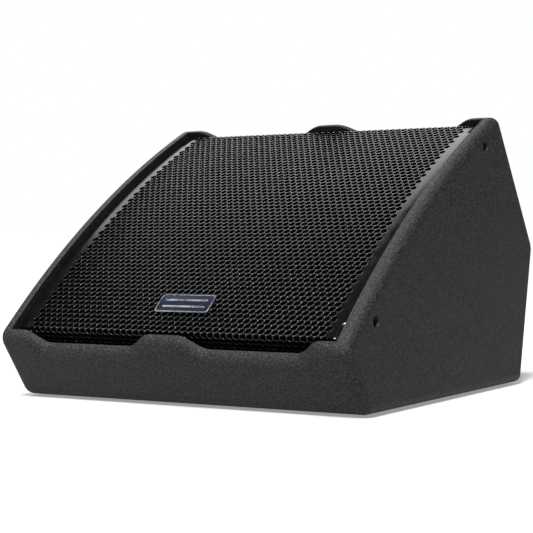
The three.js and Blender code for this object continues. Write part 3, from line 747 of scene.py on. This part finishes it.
def rear_lower():
    """The rear lower panel, with the stepped opening for the amplifier."""
    ledge = -8.3
    half_w, half_h, window_w, window_h = 166.2, 80.7, 150.0, 65.0
    low, high = AMP_CENTRE - half_h, AMP_CENTRE + half_h
    w_low, w_high = AMP_CENTRE - window_h, AMP_CENTRE + window_h
    heel = rounded_corner(REAR, HEEL, LIP_FOOT, RADII["heel"], 8)
    section = ([rear_edge(-PANEL, 0), on_rear(high, 0), on_rear(low, 0)] + heel
               + [rear_line_at(FOOT_HEIGHT, -PANEL), on_rear(w_low, -PANEL), on_rear(w_high, -PANEL),
                  rear_edge(-PANEL, -PANEL)])
    stations = [-INNER_X, -half_w, -window_w, window_w, half_w, INNER_X]
    rings = [across(x, section) for x in stations]
    verts, faces = lofted(rings)
    count = len(section)
    soup = Soup().add(verts, opened(verts, faces, count, ({1, 2}, half_w), ({count - 3, count - 2}, window_w)))

    def frame_ring(half_x, half_v, d):
        return [(x, *on_rear(AMP_CENTRE + v, d)) for x, v in four_corners(half_x, half_v)]

    levels = [frame_ring(half_w, half_h, 0), frame_ring(half_w, half_h, ledge),
              frame_ring(window_w, window_h, ledge), frame_ring(window_w, window_h, -PANEL)]
    soup.add(*lofted(levels, False, False))
    piece(soup, "painted_rear_lower", PAINT, "cabinet_paint", "rear_lower_panel", sharp=40)


def base_board():
    """The flat board between the lip and the rear panel."""
    top = FOOT_HEIGHT + PANEL
    section = [chord_line_at(LIP_THICKNESS, FOOT_HEIGHT), rear_line_at(FOOT_HEIGHT, -PANEL),
               rear_line_at(top, -PANEL), chord_line_at(LIP_THICKNESS, top)]
    rings = [across(x, section) for x in (-INNER_X, INNER_X)]
    piece(Soup().add(*lofted(rings)), "painted_base", PAINT, "cabinet_paint", "bottom_panel")


for hand in (1, -1):
    side_panel(hand)
front_lip()
rear_top()
rear_lower()
base_board()

# ---- grille ----
PITCH = 10.0
ROW = PITCH * math.sqrt(3) / 2
HOLE_FLAT = 4.4
HOLE_CORNER = 4.85
GRILLE_RADIUS = FRONT_RADIUS - 7.7
ARC_START = math.asin((24.5 - HALF_CHORD) / GRILLE_RADIUS)
ARC_END = math.asin((533.5 - HALF_CHORD) / GRILLE_RADIUS)
ARC_LENGTH = GRILLE_RADIUS * (ARC_END - ARC_START)
FOLD = 2.4
SKIRT = 25.0
ARC_CENTRE = on_chord(HALF_CHORD, -math.sqrt(FRONT_RADIUS ** 2 - HALF_CHORD ** 2))
MARGIN_START = 243.0
MARGIN_FLAT = 255.2
FLANGE_FROM_END = 29.0
CELL = PITCH / math.sqrt(3)
FIRST_ROW = 8.2 - SKIRT
BAND = 7.6
ROWS = int((ARC_LENGTH + 2 * SKIRT - 16.0) / ROW) + 1


def sheet_point(u, w):
    """A point of the bent sheet: u across, w along it from the front fold."""
    fold_length = FOLD * math.pi / 2
    if w < fold_length:
        end, sign, edge = ARC_START, -1.0, w
    elif w > ARC_LENGTH - fold_length:
        end, sign, edge = ARC_END, 1.0, ARC_LENGTH - w
    else:
        return ray(ARC_START + w / GRILLE_RADIUS, GRILLE_RADIUS, u)
    hub_angle = end - sign * FOLD / GRILLE_RADIUS
    out = ALONG * math.sin(hub_angle) + OUTWARD * math.cos(hub_angle)
    away = (ALONG * math.cos(hub_angle) - OUTWARD * math.sin(hub_angle)) * sign
    hub = ARC_CENTRE + out * (GRILLE_RADIUS - FOLD)
    if edge >= 0:
        turn = (fold_length - edge) / FOLD
        p = hub + (out * math.cos(turn) + away * math.sin(turn)) * FOLD
    else:
        p = hub + away * FOLD + out * edge
    return (u, p.x, p.y)


def ray(angle, radius, u):
    """A point on the ray from the arch's centre, u across."""
    p = ARC_CENTRE + (ALONG * math.sin(angle) + OUTWARD * math.cos(angle)) * radius
    return (u, p.x, p.y)


def row_of_holes(j):
    """A row's place along the sheet, and its hole centres across it."""
    last = 235.0 if j % 2 == 0 else 230.0
    count = int(round(2 * last / PITCH)) + 1
    return FIRST_ROW + j * ROW, last, [-last + i * PITCH for i in range(count)]


def grille_sheet():
    """The perforated sheet: a cell of six-sided web around each hole, then the plain bands and margins."""
    index = {}
    points = []
    faces = []

    def vertex(u, w):
        key = (round(u * 50), round(w * 50))
        if key not in index:
            index[key] = len(points)
            points.append(sheet_point(u, w))
        return index[key]

    web = [polar(CELL, math.radians(30 + 60 * k)) for k in range(6)]
    hole = [polar(HOLE_FLAT if k % 2 else HOLE_CORNER, math.radians(30 + 30 * k)) for k in range(12)]
    border = [(235.0 + PITCH / 2, FIRST_ROW - BAND)]
    for j in range(ROWS):
        w, last, centres = row_of_holes(j)
        for u in centres:
            c = [vertex(u + x, w + y) for x, y in web]
            r = [vertex(u + x, w + y) for x, y in hole]
            for k in range(6):
                faces.append((c[k], c[(k + 1) % 6], r[(2 * k + 2) % 12], r[2 * k + 1], r[2 * k]))
        edge = last + PITCH / 2
        border += [(edge, w - CELL / 2), (edge, w + CELL / 2)]
    border.append((edge, w + BAND))
    # plain bands before the first row and after the last
    for j, sign in ((0, -1), (ROWS - 1, 1)):
        w, last, centres = row_of_holes(j)
        zigzag = []
        for u in centres:
            zigzag += [(u - PITCH / 2, w + sign * CELL / 2), (u, w + sign * CELL)]
        zigzag.append((last + PITCH / 2, w + sign * CELL / 2))
        straight = [(u, w + sign * BAND) for u, _ in zigzag]
        for a, b, c, d in zip(zigzag, zigzag[1:], straight[1:], straight):
            faces.append((vertex(*a), vertex(*b), vertex(*c), vertex(*d)))
    # plain margins at both sides, folded down along the arched part
    turns = 4
    for side in (1, -1):
        for (u0, w0), (u1, w1) in zip(border, border[1:]):
            columns = [(u0, u1), (MARGIN_START, MARGIN_START), (MARGIN_FLAT, MARGIN_FLAT)]
            for (a0, a1), (b0, b1) in zip(columns, columns[1:]):
                faces.append((vertex(side * a0, w0), vertex(side * b0, w0),
                              vertex(side * b1, w1), vertex(side * a1, w1)))
        inner = [w for _, w in border if FLANGE_FROM_END < w < ARC_LENGTH - FLANGE_FROM_END]
        previous = None
        for w in inner:
            angle = ARC_START + w / GRILLE_RADIUS
            column = [vertex(side * MARGIN_FLAT, w)]
            for k in range(1, turns + 1):
                turn = math.pi / 2 * k / turns
                u = side * (MARGIN_FLAT + FOLD * math.sin(turn))
                points.append(ray(angle, GRILLE_RADIUS - FOLD * (1 - math.cos(turn)), u))
                column.append(len(points) - 1)
            points.append(ray(angle, GRILLE_RADIUS - SKIRT, side * (MARGIN_FLAT + FOLD)))
            column.append(len(points) - 1)
            if previous:
                for a, b, c, d in zip(previous, column, column[1:], previous[1:]):
                    faces.append((a, b, c, d))
            previous = column
    obj = piece(Soup().add(points, faces), "grille_perforated_sheet", GRILLE_COAT, "grille_steel", "grille",
                sharp=60, weld=0.0)
    solid = obj.modifiers.new("sheet", "SOLIDIFY")
    solid.thickness = 1.5 * MM
    solid.offset = -1.0


grille_sheet()


def soft_slab(name, columns, rows, point, material, slot, node):
    """A padded slab. point(across, up, edge, face) gives each vertex: the first two run from 0 to 1, edge is
    the number of cells to the nearest border, and face is 0 or 1."""
    width = columns + 1
    verts = []
    for face in (0, 1):
        for j in range(rows + 1):
            for i in range(width):
                verts.append(point(i / columns, j / rows, min(i, columns - i, j, rows - j), face))
    size = width * (rows + 1)
    faces = []
    for j in range(rows):
        for i in range(columns):
            a = j * width + i
            faces.append((a, a + 1, a + width + 1, a + width))
            faces.append((size + a, size + a + width, size + a + width + 1, size + a + 1))
    border = (list(range(columns)) + [j * width + columns for j in range(rows)]
              + [rows * width + i for i in range(columns, 0, -1)] + [j * width for j in range(rows, 0, -1)])
    for a, b in zip(border, border[1:] + border[:1]):
        faces.append((a, a + size, b + size, b))
    obj = piece(Soup().add(verts, faces), name, material, slot, node, sharp=60)


def foam_lining():
    """The thin foam behind the grille, gently uneven."""
    random.seed(4)
    start, end, half_width = 31.0, 528.0, 253.0
    front_depth, back_depth = 10.6, 15.9

    def point(across, up, edge, face):
        x = half_width * (2 * across - 1)
        s = start + (end - start) * up
        tuck = 1.2 if edge == 0 else 0.0
        depth = back_depth - tuck if face else front_depth + tuck + random.uniform(0.0, 0.7)
        if up == 1:  # the rear edge is turned down behind the sheet's rear skirt
            s, depth = (529.6, 26.0) if face else (531.4, 10.2)
        p = on_chord(s, arch(s, depth))
        return (x, p.x, p.y)

    soft_slab("grille_foam_lining", 40, 40, point, FOAM, "foam_black", "grille_foam")


def damping_wadding():
    """The loose wadding on the base board: lumpy on top and drawn in at its edges."""
    random.seed(9)
    lumps = [(random.uniform(-240, 240), random.uniform(-155, 160), random.uniform(18, 42)) for _ in range(90)]
    sink = (5.5, 2.4, 0.9)
    half_x, middle_y, half_y = 249.0, 2.5, 166.5
    under, over = 18.6, 29.0

    def point(across, up, edge, face):
        x, y = half_x * (2 * across - 1), middle_y + half_y * (2 * up - 1)
        border = edge == 0
        if face:
            return (x * (1 - 0.008 * border), y * (1 - 0.008 * border), under + 0.8 * border)
        pull = sink[edge] if edge < len(sink) else 0.0
        lump = sum(math.exp(-((x - a) ** 2 + (y - b) ** 2) / (r * r)) for a, b, r in lumps)
        return (x * (1 - 0.004 * border), y * (1 - 0.004 * border),
                over + min(4.0, 1.6 * lump) - pull - random.uniform(0.0, 0.5))

    soft_slab("damping_wadding", 60, 44, point, WADDING, "wadding", "damping_pad")


foam_lining()
damping_wadding()


def badge():
    """A plain rimmed plate with two bars, curved to the grille."""
    outer = rounded_rectangle(43.5, 16.5, 6.0, 8)
    inner = rounded_rectangle(41.6, 14.6, 4.6, 8)

    def bent(p, depth):
        angle = ARC_START + (54.5 + p.y) / GRILLE_RADIUS
        return ray(angle, GRILLE_RADIUS - depth, p.x)

    levels = [(outer, -0.6), (outer, -2.0), (offset_loop(outer, 0.5), -2.5), (offset_loop(inner, -0.3), -2.5),
              (inner, -2.2), (inner, -1.6), (inner, -0.6)]
    rings = [[bent(p, depth) for p in loop] for loop, depth in levels]
    rings.append(rings[0])
    piece(Soup().add(*lofted(rings, False, False)), "badge_rim", SILVER, "badge_metal", "badge_plate", sharp=40)
    levels = [(inner, -0.6), (inner, -1.6), (offset_loop(inner, 0.4), -1.7)]
    face = Soup().add(*lofted([[bent(p, depth) for p in loop] for loop, depth in levels]))
    piece(face, "badge_face", BADGE_NAVY, "badge_metal", sharp=40)
    half, height = 34.0, 1.7
    bars = Soup()
    for y in (6.0, -6.0):
        loop = [at(x, y + rise) for x, rise in four_corners(half, height)]
        bars.add(*lofted([[bent(p, depth) for p in loop] for depth in (-1.6, -2.1)]))
    piece(bars, "badge_bars", SILVER, "badge_metal")


badge()


def screw(name, head, height, shank, length, place, socket, node):
    """A domed socket head screw, with its head on z = 0."""
    dome = [(head * math.cos(a), height * (0.25 + 0.75 * math.sin(a))) for a in
            (math.radians(d) for d in (0, 15, 30, 45, 55))]
    profile = [(shank, -length + 0.6), (shank, 0), (head, 0)] + dome
    steps = 36
    levels = [[(*polar(r, math.tau * k / steps), z) for k in range(steps)] for r, z in profile]
    rim = []
    for k in range(steps):
        angle = math.tau * k / steps
        sector = (angle % (math.tau / 6)) - math.tau / 12
        r = socket * math.cos(math.tau / 12) / math.cos(sector)
        rim.append(polar(r, angle))
    levels += [[(x, y, z) for x, y in rim] for z in (height, height * 0.3)]
    piece(Soup().add(*lofted(levels)), name, BLACK_STEEL, "black_steel", node, place=place, sharp=32)


for height, spot in SCREW_SPOTS.items():
    for hand, sign in (("left", -1), ("right", 1)):
        turn = Matrix.Rotation(sign * math.pi / 2, 4, "Y")
        seat = Vector((sign * (HALF_WIDTH - COUNTERBORE_DEPTH + 0.3), spot.x, spot.y)) * MM
        node = f"grille_screw_{height}_{hand}"
        screw(node + "_head", 4.75, 2.8, 2.4, 21.0, Matrix.Translation(seat) @ turn, 1.7, node)

# ---- feet ----
FOOT_PROFILE = [(0, 0.25), (11.0, 0.25), (11.5, 0), (14.6, 0), (15.6, 0.5), (16.0, 1.4), (15.8, 2.7),
                (5.0, 2.7), (0, 2.7)]
for end, y in (("front", -165.0), ("rear", 185.0)):
    for hand, x in (("left", -205.0), ("right", 205.0)):
        node = f"foot_{end}_{hand}"
        piece(Soup().add(*lathe(FOOT_PROFILE, 48)), "rubber_" + node, RUBBER, "rubber", node,
              place=shifted(WORLD, x, y), sharp=40)

# ---- handle ----
def handle():
    """The recessed handle: its cup, the ribbed grip across it and four flange screws."""
    half_w, half_h, depth, wall = 91.7, 45.7, 55.0, 3.0
    rim = rounded_rectangle(106.0, 60.0, 12.0)
    mouth = rounded_rectangle(half_w - wall, half_h - wall, 9.0)
    floor = rounded_rectangle(half_w - wall - 2.0, half_h - wall - 2.0, 9.0)
    outer = rounded_rectangle(half_w, half_h, 10.0)
    levels = [
        (outer, -depth), (outer, 0.3), (rim, 0.3), (rim, 2.2), (offset_loop(rim, 0.9), 3.1),
        (offset_loop(rim, 2.0), 3.3), (offset_loop(mouth, -2.5), 3.3), (offset_loop(mouth, -0.8), 2.8),
        (mouth, 1.4), (mouth, -2.0), (floor, -depth + 9.0), (offset_loop(floor, 2.0), -depth + 5.0),
        (offset_loop(floor, 6.0), -depth + wall),
    ]
    cup = Soup().add(*lofted([level(loop, z) for loop, z in levels]))
    piece(cup, "handle_recess", MOULDED, "moulded_black", "handle_cup", place=HANDLE_FRAME, sharp=38)
    soup = Soup()
    half = half_w - wall - 0.4
    profile = [(0, -half), (10.4, -half)]
    z = -half + 8.0
    profile += [(10.6, -half + 0.6), (10.6, z - 1.2)]
    while z < half - 9.0:
        profile += [(11.0, z), (11.0, z + 3.2), (10.3, z + 3.8), (10.3, z + 4.9)]
        z += 5.6
    profile += [(10.6, half - 7.0), (10.6, half - 0.6), (10.4, half), (0, half)]
    verts, faces = lathe(profile, 40)
    soup.add([(z, x, y) for x, y, z in verts], faces)
    piece(soup, "handle_ribbed_grip", RUBBER, "rubber", "handle_grip",
          place=shifted(HANDLE_FRAME, 0, 24.0, -13.0), sharp=30)
    for i, (x, y) in enumerate(four_corners(98.5, 52.5)):
        piece(Soup().add(*cross_head(3.4, 1.5)), f"handle_screw_{i + 1}", BLACK_STEEL, "black_steel",
              place=shifted(HANDLE_FRAME, x, y, 3.3), sharp=30)


def cross_head(radius, height, slot=0.45, reach=1.9):
    """A pan head with a cross recess, its underside on z = 0."""
    loop = []
    for quarter in range(4):
        turn = math.pi / 2 * quarter
        for x, y in ((reach, -slot), (reach, slot), (slot, slot)):
            loop.append(at(*spun(x, y, turn)))
    soup = Soup()
    steps = 36
    profile = ((0.5, 0.0), (1.0, 0.0), (1.0, 0.4), (0.93, 0.75), (0.78, 1.0))
    rings = [level(circle(radius * r, steps=steps), height * z) for r, z in profile]
    soup.add(*lofted(rings, True, False))
    points, faces = filled([circle(radius * 0.78, steps=steps), loop])
    soup.add(level(points, height), faces)
    soup.add(*lofted([level(loop, z) for z in (height, height * 0.25)], False, True))
    return soup.verts, soup.faces


handle()

# ---- amplifier ----
FACE = -5.0
SEAT = FACE + 0.3
SPOTS = {"input": (-128, 36), "link": (-92, 36), "inlet": (-128, -32), "outlet": (-92, -32),
         "rocker": (-50, -34), "knob": (-54, 30), "button_1": (-24, 38), "button_2": (-24, 20),
         "lens": (-4, 38)}
AMP_SCREWS = four_corners(158, 72)


def on_plate(name, up=0.0, out=0.0):
    """The placement of a spot on the amplifier's plate."""
    x, y = SPOTS[name]
    return shifted(REAR_FRAME, x, y + up, out)


def amp_plate():
    """The amplifier's face plate with its openings, and the pillars that carry the circuit board."""
    rx, ry = SPOTS["rocker"]
    ix, iy = SPOTS["input"]
    loops = [rounded_rectangle(165.5, 80.0, 6.0)]
    loops += [circle(12.1, *SPOTS[name]) for name in ("link", "inlet", "outlet")]
    loops.append(circle(4.2, *SPOTS["knob"]))
    loops += [circle(3.9, *SPOTS[name]) for name in ("button_1", "button_2")]
    loops.append(circle(2.8, *SPOTS["lens"]))
    loops.append([p + at(rx, ry) for p in rounded_rectangle(7.8, 11.8, 0.6, 3)])
    loops.append(latch_key(ix, iy))
    loops += [circle(2.4, x, y, 24) for x, y in AMP_SCREWS]
    soup = Soup().add(*plate(loops, FACE - 3.0, FACE, 0.35))
    for i in (-1, 1):
        for j in (-1, 1):
            soup.add(*rod(3.0, -31.7, FACE - 3.0), shift=(i * 140.0, j * 55.0, 0))
    piece(soup, "amplifier_face_plate", ANODISED, "anodised", "amp_panel", place=REAR_FRAME, sharp=30)


def latch_key(x, y):
    """A round opening with a square notch at its top, for the input socket and its latch."""
    radius, half, top = 12.1, 4.0, 14.9
    start = math.acos(half / radius)
    points = []
    steps = 36
    for i in range(steps + 1):
        angle = math.pi - start + (math.tau - (math.pi - 2 * start)) * i / steps
        points.append(at(x + radius * math.cos(angle), y + radius * math.sin(angle)))
    return points + [at(x + half, y + top), at(x - half, y + top)]


amp_plate()
for i, (x, y) in enumerate(AMP_SCREWS):
    screw(f"amp_screw_{i + 1}_head", 4.0, 2.2, 2.0, 12.0, shifted(REAR_FRAME, x, y, SEAT), 1.4,
          f"amp_panel_screw_{i + 1}")


def heat_sink():
    """An extruded sink: one comb-shaped section with tapered, round-tipped fins."""
    left, right, base, tip = 20.0, 146.0, SEAT + 3.0, 8.0
    fins, root, top = 10, 1.45, 0.85
    pitch = (right - left - 3.0) / (fins - 1)
    section = [at(left, SEAT), at(right, SEAT), at(right, base)]
    for i in reversed(range(fins)):
        x = left + 1.5 + i * pitch
        section += [at(x + root, base), at(x + top, tip - 0.9), at(x + top * 0.6, tip - 0.15), at(x, tip),
                    at(x - top * 0.6, tip - 0.15), at(x - top, tip - 0.9), at(x - root, base)]
        if i:
            section += [at(x - root - 0.8, base - 0.35), at(x - pitch + root + 0.8, base - 0.35)]
    section.append(at(left, base))
    cleaned = [section[0]]
    for p in section[1:]:
        if (p - cleaned[-1]).length > 0.05:
            cleaned.append(p)
    rings = [[(p.x, y, p.y) for p in cleaned] for y in (-62.0, 50.0)]
    piece(Soup().add(*lofted(rings)), "finned_heat_sink", ANODISED, "anodised", "heat_sink",
          place=REAR_FRAME, sharp=28)


heat_sink()


def socket(name, node, recess, depth, latch=False):
    """A panel socket: a chamfered flange with two screws, a barrel and a recess. Returns the socket's
    placement and the heights of the recess's floor and of the flange."""
    place = on_plate(name)
    top = SEAT + 2.0
    floor = top - depth
    loops = [rounded_rectangle(13.0, 15.5, 3.0), circle(recess + 0.6, steps=48)]
    if latch:
        loops.append([p + at(0, 12.6) for p in rounded_rectangle(4.0, 2.3, 0.5, 3)])
    soup = Soup().add(*plate(loops, SEAT, top, 0.5))
    barrel = [(11.8, SEAT), (11.8, -34.0), (9.0, -34.0), (9.0, floor - 3.0), (0, floor - 3.0), (0, floor),
              (recess, floor), (recess, top - 0.6), (recess + 0.6, SEAT + 0.2)]
    if latch:
        barrel[0] = (10.2, SEAT)
        barrel.insert(1, (10.2, SEAT - 8.2))
        barrel.insert(2, (11.8, SEAT - 8.2))
        barrel[-1] = (recess + 0.3, SEAT + 0.2)
    soup.add(*lathe(barrel, 48))
    piece(soup, node + "_body", MOULDED, "moulded_black", node, place=place, sharp=30)
    for i, (x, y) in enumerate(((-10.2, 12.7), (10.2, -12.7))):
        head = Soup().add(*cross_head(1.9, 0.7, 0.28, 1.1))
        piece(head, f"{node}_body_screw_{i + 1}", BLACK_STEEL, "black_steel",
              place=shifted(place, x, y, top - 0.05), sharp=30)
    return place, floor, top


def contact_spots(radius):
    """The three contacts of a signal socket."""
    return [polar(radius, math.radians(d)) for d in (90, 210, 330)]


place, floor, top = socket("input", "input_socket", 9.5, 17.0, latch=True)
loops = [circle(7.3, steps=48)] + [circle(1.3, x, y, 20) for x, y in contact_spots(4.2)]
insert = Soup().add(*plate(loops, floor + 0.02, top - 6.0, 0.35))
piece(insert, "input_socket_insert", MOULDED, "moulded_black", place=place, sharp=30)
key = Soup().add(*box(-1.6, 1.6, 7.2, 9.5, floor + 0.1, top - 8.0))
piece(key, "input_socket_key", MOULDED, "moulded_black", place=place, bevel=0.2)

tab = Soup().add(*plate([rounded_rectangle(3.6, 1.9, 0.6, 4)], -4.0, 4.2, 0.5))
for y in (-1.15, -0.25, 0.65):
    tab.add(*box(-2.4, 2.4, y, y + 0.4, 4.15, 4.45))
piece(tab, "input_latch_tab", ZINC, "zinc", "input_latch", body="input_latch",
      place=on_plate("input", 12.6, SEAT))

place, floor, top = socket("link", "link_socket", 9.5, 17.0)
for i, (x, y) in enumerate(contact_spots(4.2)):
    pin = Soup().add(*lathe([(0, floor - 1.0), (1.2, floor - 1.0), (1.2, -10.7), (0.7, -10.1), (0, -10.0)], 20))
    piece(pin, f"link_socket_pin_{i + 1}", ZINC, "zinc", place=shifted(place, x, y))

for name, tint in (("inlet", MOULDED_BLUE), ("outlet", MOULDED_GREY)):
    node = "mains_" + name
    place, floor, top = socket(name, node, 10.6, 20.0)
    core = Soup().add(*lathe([(0, floor), (5.0, floor), (5.0, top - 6.4), (4.6, top - 6.0), (2.1, top - 6.0),
                              (2.1, top - 12.0), (0, top - 12.0)], 36))
    piece(core, node + "_core", tint, "moulded_black", place=place, sharp=30)
    collar = Soup().add(*tube(9.3, 10.55, floor + 0.1, top - 2.2, 48, 0.3))
    lug, lug_faces = box(8.1, 9.5, -1.6, 1.6, floor + 3.0, top - 3.4)
    for degrees in (70, 190, 310):
        collar.add([(*spun(x, y, math.radians(degrees)), z) for x, y, z in lug], lug_faces)
    piece(collar, node + "_collar", tint, "moulded_black", place=place, sharp=30)


def rocker_switch():
    """The mains switch: its bezel, and the rocker with a dot on its upper end."""
    place = on_plate("rocker")
    loops = [rounded_rectangle(9.5, 13.5, 1.5), rounded_rectangle(6.1, 9.8, 0.4, 3)]
    soup = Soup().add(*plate(loops, SEAT, SEAT + 1.8, 0.5))
    loops[0] = rounded_rectangle(7.5, 11.5, 0.4, 3)
    soup.add(*plate(loops, -22.0, SEAT, 0.0))
    piece(soup, "rocker_bezel", MOULDED, "moulded_black", "rocker_frame", place=place, sharp=30)
    # the two faces are hollowed a little and meet in a valley
    section = [at(-8.6, -3), at(-4, -8), at(4, -8), at(8.6, -3), at(8.6, 6.8), at(8.3, 7.15)]
    for i in range(17):
        y = 7.6 * (8 - i) / 8
        share = abs(y) / 8.6
        section.append(at(y, 5.6 + 1.6 * share - 0.35 * math.sin(math.pi * share)))
    section += [at(-8.3, 7.15), at(-8.6, 6.8)]
    inner = offset_loop(section, 0.4)
    rings = [across(x, loop) for x, loop in ((-5.6, inner), (-5.2, section), (5.2, section), (5.6, inner))]
    seat = shifted(place, 0, 0, FACE - 6.0) @ Matrix.Rotation(math.radians(7), 4, "X")
    piece(Soup().add(*lofted(rings)), "rocker_cap", MOULDED, "moulded_black", "power_rocker",
          body="power_rocker", place=seat, sharp=30)
    dot = Soup().add(*lathe([(0, 0), (1.3, 0), (1.3, 0.12), (1.1, 0.2), (0, 0.2)], 24))
    slope = Matrix.Rotation(math.radians(10.6), 4, "X")
    piece(dot, "rocker_dot", PRINT, "moulded_black", body="power_rocker",
          place=shifted(seat, 0, 5.4, 6.32) @ slope)


rocker_switch()


def level_knob():
    """A fluted knob with a pointer line, and the ticks around it."""
    place = on_plate("knob")
    steps = 144
    levels = [(3.3, -4.0, 0), (9.0, -4.0, 0), (9.2, -3.6, 0), (9.2, -2.6, 0), (8.9, -2.2, 0.0), (8.8, -1.8, 1),
              (8.2, 6.4, 1), (7.9, 7.2, 0.3), (7.3, 7.75, 0), (6.2, 8.0, 0), (5.6, 7.8, 0), (5.2, 7.7, 0)]
    rings = []
    for radius, z, flute in levels:
        ring = []
        for k in range(steps):
            angle = math.tau * k / steps
            dip = 0.45 * flute * (0.5 - 0.5 * math.cos(18 * angle))
            ring.append((*polar(radius - dip, angle), z))
        rings.append(ring)
    rings = [level(circle(3.3, steps=steps), 6.5)] + rings
    piece(Soup().add(*lofted(rings)), "fluted_level_knob", MOULDED, "moulded_black", "level_knob",
          body="level_knob", place=place, sharp=38)
    line = Soup().add(*box(-0.45, 0.45, 3.0, 7.2, 7.6, 8.0))
    piece(line, "level_pointer", PRINT, "moulded_black", body="level_knob", place=place, bevel=0.1)
    ticks = Soup()
    for i in range(11):
        angle = math.radians(240 - 30 * i)
        near, far = (11.6, 14.2) if i in (0, 5, 10) else (11.9, 13.4)
        corners = [(near, -0.25), (far, -0.25), (far, 0.25), (near, 0.25)]
        ticks.add(*lofted([[(*spun(x, y, angle), z) for x, y in corners] for z in (FACE - 0.02, FACE + 0.06)]))
    piece(ticks, "level_tick_marks", PRINT, "anodised", place=place)


level_knob()

for name in ("button_1", "button_2"):
    node = "push_" + name
    cap = Soup().add(*lathe([(0, -14), (3.5, -14), (3.5, -2.7), (3.3, -2.25), (2.8, -2.0), (1.5, -2.15),
                             (0, -2.2)], 40))
    piece(cap, name + "_cap", MOULDED_GREY, "moulded_black", node, body=node, place=on_plate(name))
dome = Soup().add(*lathe([(0, -12), (2.5, -12), (2.5, FACE + 0.3), (2.2, FACE + 0.75), (1.3, FACE + 0.98),
                          (0, FACE + 1.0)], 32))
piece(dome, "status_lens_dome", LENS_GREEN, "lens_green", "status_lens", place=on_plate("lens"), sharp=40)


# ---- carried-over CAD pieces ----
def dress(material, *names):
    """Gives CAD nodes that keep their own shape a material and smooth shading."""
    for name in names:
        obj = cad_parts[name]
        obj.data.materials.clear()
        obj.data.materials.append(material)
        obj.data.shade_smooth()
        obj.data.set_sharp_from_angle(angle=math.radians(35))


dress(PAINT, "baffle")
dress(ZINC, *(f"grille_nut_{height}_{hand}" for height in SCREW_SPOTS for hand in ("left", "right")))
dress(MOULDED, "port_tube_left", "port_tube_right", "horn_flare")
dress(CASTING, "woofer_frame", "hf_driver_cover")
dress(FOAM, "woofer_gasket")
dress(SURROUND_CLOTH, "woofer_surround")
dress(SPIDER_CLOTH, "woofer_spider")
dress(PULP, "woofer_cone")
dress(COPPER, "voice_coil", "power_transformer")
dress(BLACK_STEEL, "magnet_top_plate", "magnet_back_plate", "level_pot")
dress(MAGNET, "magnet_ring")
dress(ZINC, "hf_diaphragm", "level_shaft")
dress(BOARD, "amp_circuit_board")


# ---- studio ----
def white_world():
    """White to the camera, and a faint fill for everything else."""
    world = bpy.data.worlds.new("studio")
    bpy.context.scene.world = world
    world.use_nodes = True
    tree = world.node_tree
    tree.nodes.clear()
    out = tree.nodes.new("ShaderNodeOutputWorld")
    mix = tree.nodes.new("ShaderNodeMixShader")
    path = tree.nodes.new("ShaderNodeLightPath")
    tree.links.new(path.outputs["Is Camera Ray"], mix.inputs[0])
    for into, strength in ((1, 0.05), (2, 1.0)):
        background = tree.nodes.new("ShaderNodeBackground")
        background.inputs["Color"].default_value = (1, 1, 1, 1)
        background.inputs["Strength"].default_value = strength
        tree.links.new(background.outputs[0], mix.inputs[into])
    tree.links.new(mix.outputs[0], out.inputs["Surface"])


def pale_floor():
    """A wide floor that the fill leaves nearly white."""
    mesh = bpy.data.meshes.new("studio_floor")
    mesh.from_pydata([(x, y, 0) for x, y in four_corners(40.0, 40.0)], [], [(0, 1, 2, 3)])
    floor = bpy.data.objects.new("studio_floor", mesh)
    bpy.context.scene.collection.objects.link(floor)
    n = Nodes("studio_floor")
    speck = n.noise(3.0, 2.0)
    n.colour(speck, "Fac", (0.3, grey(0.33)), (0.7, grey(0.35)))
    n.set(Roughness=0.9, Specular_IOR_Level=0.1, Emission_Color=(1, 1, 1, 1), Emission_Strength=0.3)
    mesh.materials.append(n.material)
    floor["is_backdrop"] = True


def lamp(name, kind, energy, direction, location=(0, 0, 0)):
    """A light that shines along direction."""
    light = bpy.data.lights.new(name, kind)
    light.energy = energy
    obj = bpy.data.objects.new(name, light)
    obj.location = location
    obj.rotation_euler = Vector(direction).to_track_quat("-Z", "Y").to_euler()
    bpy.context.scene.collection.objects.link(obj)
    return light


def softbox(name, location, target, size, energy):
    light = lamp(name, "AREA", energy, Vector(target) - Vector(location), location)
    light.shape = "RECTANGLE"
    light.size, light.size_y = size


def photo_camera():
    """The camera, from its place, its turn about Z and X, and its roll."""
    camera_data = bpy.data.cameras.new("camera")
    camera = bpy.data.objects.new("camera", camera_data)
    bpy.context.scene.collection.objects.link(camera)
    place = Vector((1.19052, -1.92266, 0.2417))
    azimuth, elevation, roll = math.radians(32.121), math.radians(1.562), math.radians(-0.451)
    forward = Vector((-math.sin(azimuth) * math.cos(elevation), math.cos(azimuth) * math.cos(elevation),
                      -math.sin(elevation)))
    right = Vector((math.cos(azimuth), math.sin(azimuth), 0))
    up = right.cross(forward)
    rolled_right = right * math.cos(roll) + up * math.sin(roll)
    rolled_up = up * math.cos(roll) - right * math.sin(roll)
    turn = Matrix((rolled_right, rolled_up, -forward)).transposed().to_4x4()
    camera.matrix_world = Matrix.Translation(place) @ turn
    camera_data.sensor_width = 36.0
    camera_data.lens = 105.0
    camera_data.clip_end = 200.0
    bpy.context.scene.camera = camera


white_world()
pale_floor()
softbox("rear_softbox", (-1.5, 1.65, 2.3), (0, 0, 0.25), (2.4, 1.8), 42)
softbox("left_strip", (-1.57, -1.475, 2.31), (0, -0.2, 0.1), (1.2, 0.8), 36)
sun = lamp("front_sun", "SUN", 8.0, (-0.16, 0.52, -0.84))
sun.angle = math.radians(15)
photo_camera()
bpy.context.scene.view_settings.view_transform = "Standard"
bpy.context.scene.view_settings.look = "None"


def corners(bounds):
    return [[float(v) for v in corner] for corner in bounds]


{"cad": corners(CAD_BOX), "visual": corners(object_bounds())}
